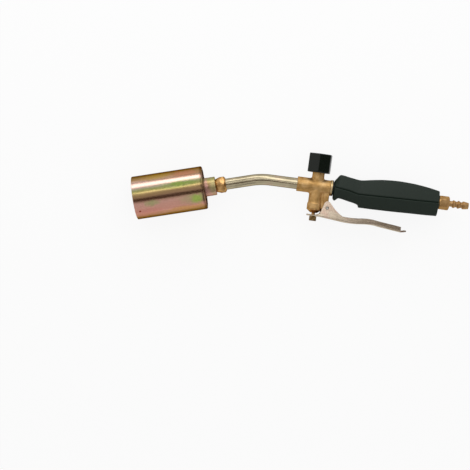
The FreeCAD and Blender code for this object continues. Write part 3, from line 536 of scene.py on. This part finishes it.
def makeSteel(name):
    # Plain steel: blued and dulled by heat inside the burner, bright on the pin and the spring.
    values = steelFinishes[name]
    material, tree, shader, places = newMaterial(name, {"Metallic": 1.0})
    mottle = addNode(tree, "ShaderNodeTexNoise", None, {
        "Vector": places["Object"], "Scale": 1 / values["mottle"] / mm, "Detail": 4.0})
    giveTones(tree, shader, mottle.outputs[0], values)
    rough = addNode(tree, "ShaderNodeMapRange", None, {
        "Value": mottle.outputs[0], "To Min": values["rough"][0], "To Max": values["rough"][1]})
    tree.links.new(rough.outputs[0], shader.inputs["Roughness"])
    return material


materials = {
    "zinc_iridescent": makePlating("yellowZincPlating", platingValues, platingValues["drawn"]),
    "brass_cast": makeCastBrass(castValues),
    "brass_turned": makeTurnedBrass("turnedBrass"),
    "nickel_steel": makeNickel("satinNickel"),
    "grip_plastic": makePlastic("gripPlastic"),
    "knob_plastic": makePlastic("knobPlastic"),
    "seal_rubber": makePlastic("nitrileRubber"),
    "dark_steel": makeSteel("heatDarkenedSteel"),
    "spring_steel": makeSteel("brightSteel"),
}
for name, node in cadNodes.items():
    node.data.materials.clear()
    node.data.materials.append(materials[slotOf[name]])
print("materials are made:", len(materials))


def roundedLine(corners, closed, steps=5):  # a corner is x, radius and, if it is rounded, how far
    line = []
    for place, corner in enumerate(corners):
        here = Vector(corner[:2])
        rounding = corner[2] if len(corner) > 2 else 0
        if not rounding or (not closed and place in (0, len(corners) - 1)):
            line.append(here)
            continue
        back = Vector(corners[place - 1][:2]) - here
        ahead = Vector(corners[(place + 1) % len(corners)][:2]) - here
        half = back.angle(ahead) / 2
        reach = min(rounding / math.tan(half), back.length * 0.49, ahead.length * 0.49)
        inwards = (back.normalized() + ahead.normalized()).normalized()
        centre = here + inwards * reach / math.cos(half)
        start = here + back.normalized() * reach - centre
        end = here + ahead.normalized() * reach - centre
        turn = start.angle(end)
        for step in range(steps + 1):
            share = step / steps
            arm = start * math.sin((1 - share) * turn) + end * math.sin(share * turn)
            line.append(centre + arm / math.sin(turn))
    return line


def hexagonAngles(values, flatSteps=16, cornerSteps=4):  # the angles, and the reach at an angle
    half, rounding = values["across"] / 2, values["cornerRound"]
    rest = half - rounding
    bend = math.radians(30) - math.atan(rest * math.tan(math.radians(30)) / half)
    angles = []
    for corner in range(6):
        start = math.radians(values["firstCorner"] + 60 * corner)
        angles += [start + bend * (2 * step / cornerSteps - 1) for step in range(cornerSteps + 1)]
        flat = math.radians(60) - 2 * bend
        angles += [start + bend + flat * step / flatSteps for step in range(1, flatSteps)]

    def reach(angle):
        sixth = math.radians(60)
        off = (angle - math.radians(values["firstCorner"]) + sixth / 2) % sixth - sixth / 2
        if abs(off) >= bend:
            return half / math.cos(sixth / 2 - abs(off))
        middle = rest / math.cos(sixth / 2)
        return middle * math.cos(off) + math.sqrt(rounding ** 2 - (middle * math.sin(off)) ** 2)

    return angles, reach


def spin(name, corners, closed=True, sides=128, hexagon=None, fine=None):
    # Turns a line about the X axis. A hexagon cuts off what of it reaches past its flats.
    line = roundedLine(corners, closed)
    if fine:  # no step of the line is longer than this
        whole = line + line[:1] if closed else line
        line = whole[:1]
        for start, end in zip(whole, whole[1:]):
            count = max(1, math.ceil((end - start).length / fine))
            line += [start.lerp(end, step / count) for step in range(1, count + 1)]
        if closed:
            line.pop()
    angles, reach = [2 * math.pi * step / sides for step in range(sides)], None
    if hexagon:
        angles, reach = hexagonAngles(hexagon)
    shape = bmesh.new()
    unwrapped = shape.loops.layers.uv.new("along")
    rings, length = [], 0.0
    for place, point in enumerate(line):
        length += (point - line[place - 1]).length if place else 0
        if point.y < 1e-4:  # a point on the axis is shared
            rings.append((length, [shape.verts.new((point.x * mm, 0, 0))] * len(angles)))
            continue
        ring = []
        for angle in angles:
            radius = min(point.y, reach(angle)) if reach else point.y
            ring.append(shape.verts.new((point.x * mm, radius * math.cos(angle) * mm,
                                         radius * math.sin(angle) * mm)))
        rings.append((length, ring))
    last = (length + (line[0] - line[-1]).length, rings[0][1])
    for (start, ring), (end, other) in zip(rings, rings[1:] + [last] if closed else rings[1:]):
        for place in range(len(angles)):
            after = (place + 1) % len(angles)
            corners = [(ring[place], start), (other[place], end), (other[after], end),
                       (ring[after], start)]
            verts = list(dict.fromkeys(vert for vert, _ in corners))
            if len(verts) < 3:
                continue
            face = shape.faces.new(verts)
            for loop in face.loops:
                loop[unwrapped].uv = (dict(corners)[loop.vert], place / len(angles))
    return closeShape(name, shape)


def closeShape(name, shape):
    bmesh.ops.recalc_face_normals(shape, faces=shape.faces)
    mesh = bpy.data.meshes.new(name)
    shape.to_mesh(mesh)
    shape.free()
    return linkPiece(name, mesh)


def flatten(piece):  # the modifiers become part of the mesh
    bpy.context.view_layer.update()
    evaluated = piece.evaluated_get(bpy.context.evaluated_depsgraph_get())
    mesh = bpy.data.meshes.new_from_object(evaluated)
    piece.modifiers.clear()
    piece.data = mesh


def newTree(name, inputs):
    tree = bpy.data.node_groups.new(name, "GeometryNodeTree")
    tree.interface.new_socket("Geometry", in_out="OUTPUT", socket_type="NodeSocketGeometry")
    for label, kind in {"Geometry": "Geometry", **inputs, "Material": "Material"}.items():
        tree.interface.new_socket(label, in_out="INPUT", socket_type="NodeSocket" + kind)
    return tree, addNode(tree, "NodeGroupInput").outputs


def closeTree(tree, given, geometry):
    real = addNode(tree, "GeometryNodeRealizeInstances", None, {"Geometry": geometry})
    finished = addNode(tree, "GeometryNodeSetMaterial", None, {
        "Geometry": real.outputs[0], "Material": given["Material"]})
    addNode(tree, "NodeGroupOutput", None, {"Geometry": finished.outputs[0]})


def grow(piece, tree, values):
    modifier = piece.modifiers.new(tree.name, "NODES")
    modifier.node_group = tree
    for item in tree.interface.items_tree:
        if item.in_out == "INPUT" and item.name in values:
            modifier[item.identifier] = values[item.name]


def finishPiece(piece, node, place=None, material=None, sharp=35, flat=False):
    if place:
        piece.data.transform(place)
    piece.data.materials.clear()
    piece.data.materials.append(material or materials[slotOf[node]])
    piece.data.shade_smooth()
    piece.data.set_sharp_from_angle(angle=math.radians(sharp))
    if flat:  # large faces stay flat, and the roundings beside them take up the turn
        weighed = piece.modifiers.new("flatFaces", "WEIGHTED_NORMAL")
        weighed.keep_sharp = True
        flatten(piece)
    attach(piece, bodyOf[node])
    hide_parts(node)


# The cup of the burner and what carries it. Along the burner, millimetres count from the open rim.
cup = {
    "radius": 25.0,
    "wall": 1.0,
    "length": 82.0,
    "curl": 3.8,  # radius of the rear edge, which is rolled in behind the back plate
    "rimRound": 0.42,
    "lipRound": 0.3,
}


def makeCup(values):
    outer, wall, curl = values["radius"], values["wall"], values["curl"]
    end, edge, lip = values["length"], values["rimRound"], values["lipRound"]
    piece = spin("burnerCup", [
        (0, outer - wall, edge), (0, outer, edge), (end, outer, curl), (end, outer - curl, lip),
        (end - wall, outer - curl, lip), (end - wall, outer - wall, curl - wall),
    ], sides=160, fine=4.0)
    finishPiece(piece, "burner_shell", burnerFrame)


weldSpot = {
    "along": 5.7,
    "turn": 40.0,
    "radius": 1.3,
    "height": 0.22,
    "sunk": 0.2,  # how deep it starts in the cup's wall
    "foot": 0.03,
    "crown": 0.55,  # the share of the radius that is flat
    "cloud": 0.8,
    "dark": "8A3A2C",
    "pale": "BC6450",
}


def makeWeldSpot(values):
    # A spot weld near the rim holds the windshield ring; it is a small dome with a heat tint.
    radius, height, sunk = values["radius"], values["height"], values["sunk"]
    piece = spin("weldSpot", [
        (-sunk, 0), (-sunk, radius), (values["foot"], radius, 0.05),
        (height, radius * values["crown"], 0.4), (height, 0)], closed=False, sides=32)
    place = Matrix.Translation(Vector((values["along"], 0, cup["radius"])) * mm)
    stand = (Matrix.Rotation(math.radians(values["turn"]), 4, "X") @ place
             @ Matrix.Rotation(math.radians(-90), 4, "Y"))
    piece.data.transform(burnerFrame @ stand)
    piece.data.materials.append(makeHeatTint(values))
    piece.data.shade_smooth()
    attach(piece, bodyOf["burner_shell"])


def makeHeatTint(values):
    # Steel that a welding heat has turned red and brown.
    material, tree, shader, places = newMaterial("heatTintedSteel", {
        "Metallic": 1.0, "Roughness": 0.45})
    cloud = addNode(tree, "ShaderNodeTexNoise", None, {
        "Vector": places["Object"], "Scale": 1 / (values["cloud"] * mm), "Detail": 2.0})
    giveTones(tree, shader, cloud.outputs[0], values)
    return material


def ringOfCutsTree():  # the same hole, or slot, again and again around the X axis
    tree, given = newTree("ringOfCuts", {
        "Count": "Int", "Hole radius": "Float", "Hole depth": "Float", "Tilt": "Vector",
        "First end": "Vector", "Last end": "Vector"})
    drill = addNode(tree, "GeometryNodeMeshCylinder", None, {
        "Vertices": 32, "Radius": given["Hole radius"], "Depth": given["Hole depth"]})
    ends = addNode(tree, "GeometryNodeJoinGeometry")
    for side in ("First end", "Last end"):
        moved = addNode(tree, "GeometryNodeTransform", None, {
            "Geometry": drill.outputs["Mesh"], "Translation": given[side],
            "Rotation": given["Tilt"]})
        tree.links.new(moved.outputs[0], ends.inputs[0])
    cutter = addNode(tree, "GeometryNodeConvexHull", None, {"Geometry": ends.outputs[0]})
    points = addNode(tree, "GeometryNodePoints", None, {"Count": given["Count"]})
    step = addNode(tree, "ShaderNodeMath", {"operation": "DIVIDE"}, {
        0: 2 * math.pi, 1: given["Count"]})
    index = addNode(tree, "GeometryNodeInputIndex")
    angle = addNode(tree, "ShaderNodeMath", {"operation": "MULTIPLY"}, {
        0: index.outputs[0], 1: step.outputs[0]})
    turn = addNode(tree, "ShaderNodeCombineXYZ", None, {"X": angle.outputs[0]})
    cutters = addNode(tree, "GeometryNodeInstanceOnPoints", None, {
        "Points": points.outputs[0], "Instance": cutter.outputs[0], "Rotation": turn.outputs[0]})
    real = addNode(tree, "GeometryNodeRealizeInstances", None, {"Geometry": cutters.outputs[0]})
    cut = addNode(tree, "GeometryNodeMeshBoolean", {"operation": "DIFFERENCE"}, {
        "Mesh 1": given["Geometry"], "Mesh 2": real.outputs[0]})
    closeTree(tree, given, cut.outputs[0])
    return tree


backPlate = {
    "from": 76.2,
    "to": 78.2,
    "inner": 9.0,
    "outer": 24.0,
    "edge": 0.3,
    "slots": {"Count": 12, "Hole radius": 1.2, "Hole depth": 6.0, "Tilt": (0, math.pi / 2, 0),
              "First end": (77.2, 12.5, 0), "Last end": (77.2, 21.5, 0)},
}
flameHolder = {
    "from": 41.2,
    "to": 42.7,
    "inner": 9.0,
    "outer": 20.0,
    "edge": 0.3,
    "slots": {"Count": 12, "Hole radius": 2.2, "Hole depth": 6.0, "Tilt": (0, math.pi / 2, 0),
              "First end": (41.95, 14.5, 0), "Last end": (41.95, 14.5, 0)},
}
mixingTube = {
    "from": 41.2,
    "to": 76.2,
    "inner": 7.2,
    "outer": 9.0,
    "edge": 0.3,
    "slots": {"Count": 6, "Hole radius": 2.2, "Hole depth": 8.0, "Tilt": (0, 0, 0),
              "First end": (70.2, 0, 8.0), "Last end": (70.2, 0, 8.0)},
}


def makePierced(name, node, tree, values):
    start, end, inner, outer, edge = [
        values[size] for size in ("from", "to", "inner", "outer", "edge")]
    piece = spin(name, [(start, inner, edge), (start, outer, edge), (end, outer, edge),
                        (end, inner, edge)], sides=120)
    cuts = dict(values["slots"])
    for length in ("Hole radius", "Hole depth"):
        cuts[length] = cuts[length] * mm
    for place in ("First end", "Last end"):
        cuts[place] = [part * mm for part in cuts[place]]
    grow(piece, tree, {**cuts, "Material": materials[slotOf[node]]})
    flatten(piece)
    finishPiece(piece, node, burnerFrame)


neck = {"radius": 10.7, "spigot": 9.0, "bore": 7.2, "jet": 4.5, "front": 76.2, "shoulder": 78.2,
        "floor": 91.9, "end": 94.9, "edge": 0.7}


def makeNeck(values):
    piece = spin("burnerNeck", [
        (values["front"], values["bore"]), (values["floor"], values["bore"]),
        (values["floor"], values["jet"]), (values["end"], values["jet"]),
        (values["end"], values["radius"], values["edge"]), (values["shoulder"], values["radius"]),
        (values["shoulder"], values["spigot"]), (values["front"], values["spigot"]),
    ], sides=96)
    plating = makePlating("turnedZincPlating", platingValues, platingValues["turned"])
    finishPiece(piece, "burner_neck", burnerFrame, plating)


lanceNut = {
    "hexagon": {"across": 18.4, "firstCorner": 30.0, "cornerRound": 0.6},
    "line": [(94.9, 4.5), (94.9, 7.3, 0.4), (104.2, 10.6, 0.5), (106.8, 7.3, 0.4), (106.8, 6.4),
             (99.1, 6.4), (99.1, 4.5)],
}


def makeLanceNut(values):
    piece = spin("lanceNut", values["line"], hexagon=values["hexagon"], fine=0.4)
    finishPiece(piece, "lance_nut", burnerFrame, sharp=25)


lance = {"radius": 6.4, "wall": 1.0, "start": -182.4, "bend": -234.3, "bendRadius": 80.0,
         "bendSteps": 24, "reach": 48.7}


def bentTubeTree():
    tree, given = newTree("bentTube", {
        "Tube radius": "Float", "Bend radius": "Float", "Bend steps": "Int"})
    path = addNode(tree, "GeometryNodeMeshToCurve", None, {"Mesh": given["Geometry"]})
    bent = addNode(tree, "GeometryNodeFilletCurve", {"mode": "POLY"}, {
        "Curve": path.outputs[0], "Count": given["Bend steps"], "Radius": given["Bend radius"]})
    circle = addNode(tree, "GeometryNodeCurvePrimitiveCircle", None, {
        "Resolution": 96, "Radius": given["Tube radius"]})
    tube = addNode(tree, "GeometryNodeCurveToMesh", None, {
        "Curve": bent.outputs[0], "Profile Curve": circle.outputs[0]})
    closeTree(tree, given, tube.outputs[0])
    return tree


def makeLance(values):
    towards = Vector((*rim["axis"][:2], 0))
    start, bend = [Vector((values[place], 0, 0)) * mm for place in ("start", "bend")]
    mesh = bpy.data.meshes.new("lanceTube")
    mesh.from_pydata([start, bend, bend + towards * values["reach"] * mm], [(0, 1), (1, 2)], [])
    piece = linkPiece("lanceTube", mesh)
    grow(piece, bentTubeTree(), {
        "Tube radius": values["radius"] * mm, "Bend radius": values["bendRadius"] * mm,
        "Bend steps": values["bendSteps"], "Material": materials[slotOf["lance_tube"]]})
    wall = piece.modifiers.new("wall", "SOLIDIFY")
    wall.thickness = values["wall"] * mm
    wall.offset = -1
    flatten(piece)
    finishPiece(piece, "lance_tube")


def cadCopy(name, node, gap=0.002, bend=0.5):  # loose triangles merged, and flat ones joined
    mesh = cadNodes[node].data.copy()
    mesh.name = name
    shape = bmesh.new()
    shape.from_mesh(mesh)
    bmesh.ops.remove_doubles(shape, verts=shape.verts, dist=gap * mm)
    bmesh.ops.dissolve_limit(shape, angle_limit=math.radians(bend), verts=shape.verts,
                             edges=shape.edges)
    shape.to_mesh(mesh)
    shape.free()
    return linkPiece(name, mesh)


casting = {
    "voxel": 0.32,
    "smoothing": 6,
    "easing": 0.5,
    "Skin height": 0.12,
    "Skin size": 5.0,
    "Skin middle": 0.62,  # a noise above this stands proud, and below it is sunk
}


def castSkinTree():  # the slight unevenness that a sand mould leaves
    tree, given = newTree("castSkin", {
        "Skin height": "Float", "Skin size": "Float", "Skin middle": "Float"})
    place = addNode(tree, "GeometryNodeInputPosition")
    near = addNode(tree, "ShaderNodeVectorMath", {"operation": "DIVIDE"}, {
        0: place.outputs[0], 1: given["Skin size"]})
    noise = addNode(tree, "ShaderNodeTexNoise", None, {
        "Vector": near.outputs[0], "Scale": 1.0, "Detail": 2.0})
    centred = addNode(tree, "ShaderNodeMath", {"operation": "SUBTRACT"}, {
        0: noise.outputs[0], 1: given["Skin middle"]})
    high = addNode(tree, "ShaderNodeMath", {"operation": "MULTIPLY"}, {
        0: centred.outputs[0], 1: given["Skin height"]})
    normal = addNode(tree, "GeometryNodeInputNormal")
    offset = addNode(tree, "ShaderNodeVectorMath", {"operation": "SCALE"}, {
        0: normal.outputs[0], "Scale": high.outputs[0]})
    moved = addNode(tree, "GeometryNodeSetPosition", None, {
        "Geometry": given["Geometry"], "Offset": offset.outputs[0]})
    closeTree(tree, given, moved.outputs[0])
    return tree


def makeValveBody(values):
    piece = cadCopy("valveCasting", "valve_body")
    remesh = piece.modifiers.new("melt", "REMESH")
    remesh.mode = "VOXEL"
    remesh.voxel_size = values["voxel"] * mm
    smooth = piece.modifiers.new("tumbled", "SMOOTH")
    smooth.factor = values["easing"]
    smooth.iterations = values["smoothing"]
    grow(piece, castSkinTree(), {
        "Skin height": values["Skin height"] * mm, "Skin size": values["Skin size"] * mm,
        "Skin middle": values["Skin middle"], "Material": materials[slotOf["valve_body"]]})
    flatten(piece)
    finishPiece(piece, "valve_body", sharp=60)


knob = {
    "hexagon": {"across": 25.0, "firstCorner": 81.0, "cornerRound": 1.6},
    "line": [(15.6, 9.5, 0.3), (15.6, 14.4, 0.5), (37.4, 14.4, 0.7), (37.4, 3.5, 0.3),
             (33.9, 3.5), (33.9, 1.5), (33.0, 1.5), (33.0, 2.6), (26.0, 2.6), (26.0, 9.5, 0.5)],
    "edge": 0.9,  # the top and bottom edges are rounded over the flats as well
    "skirt": 10.0,  # what lies further out is the outside
}


def makeKnob(values):
    piece = spin("knobHandle", values["line"], hexagon=values["hexagon"], fine=0.8)
    # The flats run in to the rounded edges at both ends.
    places = [corner[0] for corner in values["line"]]
    low, high, edge = min(places) * mm, max(places) * mm, values["edge"] * mm
    for vert in piece.data.vertices:
        radius = math.hypot(vert.co.y, vert.co.z)
        if radius > values["skirt"] * mm:
            depth = min(vert.co.x - low, high - vert.co.x)
            if depth < edge:
                sunk = edge - math.sqrt(max(edge ** 2 - (edge - depth) ** 2, 0))
                vert.co.y *= 1 - sunk / radius
                vert.co.z *= 1 - sunk / radius
    finishPiece(piece, "knob", knobFrame, sharp=40)


# Below the valve, millimetres count down from the gas line.
bottomCap = {
    "line": [(23.5, 2.05), (27.5, 2.05), (27.5, 3.3), (29.1, 3.3), (29.1, 2.05), (30.8, 2.05, 0.2),
             (30.8, 3.8, 0.3), (27.2, 8.5, 0.35), (26.2, 8.5), (26.2, 6.2), (23.5, 6.2)],
}
adjustingNut = {
    "hexagon": {"across": 8.0, "firstCorner": 30.0, "cornerRound": 0.25},
    "line": [(34.9, 2.0), (34.9, 4.0, 0.1), (35.26, 4.62, 0.1), (39.84, 4.62, 0.1),
             (40.2, 4.0, 0.1), (40.2, 2.0)],
}
pin = {
    "radius": 2.05,
    "proud": 8.1,
    "head": [  # from the end, share of the radius, rounding
        (-0.5, 0, 0), (-0.45, 0.3, 0.3), (0, 0.62, 0.25), (-0.1, 0.8, 0.2), (-0.6, 1, 0.3)],
}


def makeValvePieces():
    finishPiece(spin("bottomCap", bottomCap["line"], sides=96), "bottom_cap", plungerFrame,
                sharp=30)
    nut = spin("adjustingNut", adjustingNut["line"], hexagon=adjustingNut["hexagon"], fine=0.2)
    finishPiece(nut, "adjusting_nut", plungerFrame, makeTurnedBrass("brownedBrass"), sharp=25)
    half = [(pin["proud"] + place, pin["radius"] * share, rounding)
            for place, share, rounding in pin["head"]]
    other = [(-corner[0], *corner[1:]) for corner in reversed(half)]
    pinPlace = Matrix.Translation(Vector(jointAt["lever_squeeze"])) @ Matrix(
        ((0, 1, 0), (0, 0, 1), (1, 0, 0))).to_4x4()
    pinPlace.translation.z = 0
    finishPiece(spin("leverRivet", half + other, closed=False, sides=48), "lever_pin", pinPlace)


leverEdges = {"bevel": 0.35, "steps": 2, "corner": 40.0}  # corner is the least turn, in degrees


def makeLever(values):
    piece = cadCopy("squeezeLever", "lever")
    bevel = piece.modifiers.new("rolledEdges", "BEVEL")
    bevel.width = values["bevel"] * mm
    bevel.segments = values["steps"]
    bevel.limit_method = "ANGLE"
    bevel.angle_limit = math.radians(values["corner"])
    flatten(piece)
    finishPiece(piece, "lever", material=makeNickel("dullNickel"), sharp=50, flat=True)


def makeSpring(node):
    # The spring shortens towards its fixed end as the plunger comes down on it; here it stays as the CAD node has
    # it, copied with a mesh of its own.
    piece = cadCopy("valveSpring", node)
    finishPiece(piece, node, sharp=50, flat=True)
    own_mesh(piece)


grip = {
    "bevel": 7.0,  # from the side ridge in to the top and bottom edges
    "edgeRound": 3.0,
    "ridgeRound": 1.4,
    "endRound": 1.1,
    "endSteps": 5,
    "endTaper": 0.4,  # how much the bevel gives way at the rounded ends
    "steps": 110,
    "bore": 5.0,
    "spare": 5.0,  # how far the drill sticks out
    "stations": [  # distance from the front, heights of top, bottom and side ridge, half width
        (0, 9.0, -12.2, 1.8, 10.5), (2.1, 11.4, -13.9, 1.5, 11.6),
        (6.4, 16.4, -10.7, 1.0, 13.0), (18, 14.7, -12.6, -0.6, 12.8),
        (29.8, 13.3, -15.5, -3.0, 12.5), (31, 13.4, -18.3, -3.0, 12.6),
        (43, 15.4, -18.3, -2.7, 13.6), (57, 17.2, -18.1, -2.3, 14.5),
        (72, 17.9, -17.8, -1.9, 15.0), (88, 17.3, -17.3, -1.5, 15.0),
        (105, 15.4, -16.9, -1.0, 14.6), (120.4, 12.6, -16.2, -0.5, 13.8)],
}


def softCurve(places, heights):  # through all the heights, without rising over them in between
    slopes = [(b - a) / (end - start) for a, b, start, end in
              zip(heights, heights[1:], places, places[1:])]
    turns = [0 if a * b <= 0 else 2 * a * b / (a + b) for a, b in zip(slopes, slopes[1:])]
    leans = [slopes[0], *turns, slopes[-1]]

    def height(place):
        start = max(0, min(len(slopes) - 1, sum(place >= other for other in places) - 1))
        span = places[start + 1] - places[start]
        u = (place - places[start]) / span
        return ((2 * u ** 3 - 3 * u ** 2 + 1) * heights[start]
                + (u ** 3 - 2 * u ** 2 + u) * span * leans[start]
                + (3 * u ** 2 - 2 * u ** 3) * heights[start + 1]
                + (u ** 3 - u ** 2) * span * leans[start + 1])

    return height


def gripPlaces(values):  # dense at the rounded ends, even between them, and at each station
    stations = [station[0] for station in values["stations"]]
    length, rounding = stations[-1], values["endRound"]
    quarter, count = math.radians(90), values["steps"]
    ends = [rounding * (1 - math.cos(quarter * step / values["endSteps"]))
            for step in range(values["endSteps"] + 1)]
    places = ends + [length - place for place in ends]
    places += [rounding + (length - 2 * rounding) * step / count for step in range(1, count)]
    places += [place for place in stations if rounding < place < length - rounding]
    return sorted(set(places))


def makeGripHalf(name, node, edge, values):
    columns = list(zip(*values["stations"]))
    curves = [softCurve(columns[0], column) for column in columns[1:]]
    length, rounding, spare = columns[0][-1], values["endRound"], values["spare"]
    shape = bmesh.new()
    loops = []
    for place in gripPlaces(values):
        top, bottom, ridge, half = [curve(place) for curve in curves]
        depth = min(place, length - place, rounding)
        sunk = rounding - math.sqrt(rounding ** 2 - (rounding - depth) ** 2)
        tall, half = (top - sunk if edge == "top" else bottom + sunk), half - sunk
        narrow = half - values["bevel"] + sunk * values["endTaper"]
        corners = [(ridge, half, values["ridgeRound"]), (tall, narrow, values["edgeRound"]),
                   (tall, -narrow, values["edgeRound"]), (ridge, -half, values["ridgeRound"])]
        section = roundedLine(corners, True, steps=6)
        loops.append([shape.verts.new((place * mm, y * mm, z * mm)) for y, z in section])
    for loop, other in zip(loops, loops[1:]):
        for step in range(len(loop)):
            after = (step + 1) % len(loop)
            shape.faces.new((loop[step], other[step], other[after], loop[after]))
    shape.faces.new(loops[0])
    shape.faces.new(loops[-1])
    piece = closeShape(name, shape)
    drill = spin("gripDrill", [(-spare, 0), (-spare, values["bore"]),
                               (length + spare, values["bore"]), (length + spare, 0)],
                 closed=False, sides=64)
    bore = piece.modifiers.new("bore", "BOOLEAN")
    bore.operation = "DIFFERENCE"
    bore.object = drill
    flatten(piece)
    bpy.data.objects.remove(drill)
    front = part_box(node)[0].x
    finishPiece(piece, node, Matrix.Translation((front, 0, 0)), sharp=50)


rearCollar = {
    "line": [(15.3, 5.0), (15.3, 9.1, 0.3), (18.7, 9.1, 0.4), (18.7, 7.6, 0.2), (19.5, 7.6),
             (19.5, 5.0)],
    "flange": 17.6,  # the flange is pale up to here, and the rest is black plastic as painted shade between flange and grip
}


def makeRearCollar(values):
    piece = spin("rearCollar", values["line"], sides=96, fine=0.5)
    # The neck behind the flange takes the black plastic as painted shade.
    dark = [face.index for face in piece.data.polygons if face.center.x > values["flange"] * mm]
    finishPiece(piece, "rear_collar", lineFrame, makeTurnedBrass("paleBrass"), sharp=30)
    piece.data.materials.append(materials["knob_plastic"])
    for index in dark:
        piece.data.polygons[index].material_index = 1


tailWasher = {
    "line": [(-29.4, 5.0), (-29.4, 6.0), (-28.0, 6.0, 0.2), (-28.0, 7.8, 0.35), (-26.4, 7.8, 0.35),
             (-26.4, 5.0)],
}
hoseTail = {
    "hexagon": {"across": 14.0, "firstCorner": 0.0, "cornerRound": 0.35},
    "hexagonLine": [(-26.4, 5.0), (-26.4, 7.9, 0.2), (-17.2, 7.98, 0.2), (-16.6, 7.0, 0.1)],
    "barbs": [-11.2, -5.6, 0.0],  # middles of their lands
    "back": 0.8,
    "land": 1.0,
    "ramp": 2.2,
    "root": 3.3,
    "radius": 4.5,
    "tip": (6.0, 3.6, 0.3),
    "boreLine": [(6.0, 2.2, 0.2), (-20.4, 2.2), (-20.4, 5.0)],
}


def makeTail(values):
    root, radius, land = values["root"], values["radius"], values["land"]
    line = values["hexagonLine"] + [(values["hexagonLine"][-1][0], root, 0.3)]
    for middle in values["barbs"]:
        start = middle - land / 2
        line += [(start - values["back"], root, 0.3), (start, radius, 0.2),
                 (start + land, radius, 0.4)]
        if middle:  # behind the last barb comes the tip
            line.append((start + land + values["ramp"], root, 0.6))
    line += [values["tip"]] + values["boreLine"]
    piece = spin("hoseTail", line, hexagon=values["hexagon"], fine=0.35)
    finishPiece(piece, "hose_tail", tailFrame, makeTurnedBrass("mattBrass"), sharp=25)


makeCup(cup)
makeWeldSpot(weldSpot)
cutsTree = ringOfCutsTree()
makePierced("backPlate", "burner_back_plate", cutsTree, backPlate)
makePierced("flameHolder", "flame_holder", cutsTree, flameHolder)
makePierced("mixingTube", "mixing_tube", cutsTree, mixingTube)
makeNeck(neck)
makeLanceNut(lanceNut)
makeLance(lance)
print("burner and lance are made")
makeValveBody(casting)
makeKnob(knob)
makeValvePieces()
makeLever(leverEdges)
makeSpring("valve_spring")
print("valve, knob and lever are made")
makeGripHalf("gripUpper", "grip_upper", "top", grip)
makeGripHalf("gripLower", "grip_lower", "bottom", grip)
makeRearCollar(rearCollar)
finishPiece(spin("tailWasher", tailWasher["line"], sides=72), "tail_washer", tailFrame, sharp=30)
makeTail(hoseTail)
print("grip and hose tail are made")
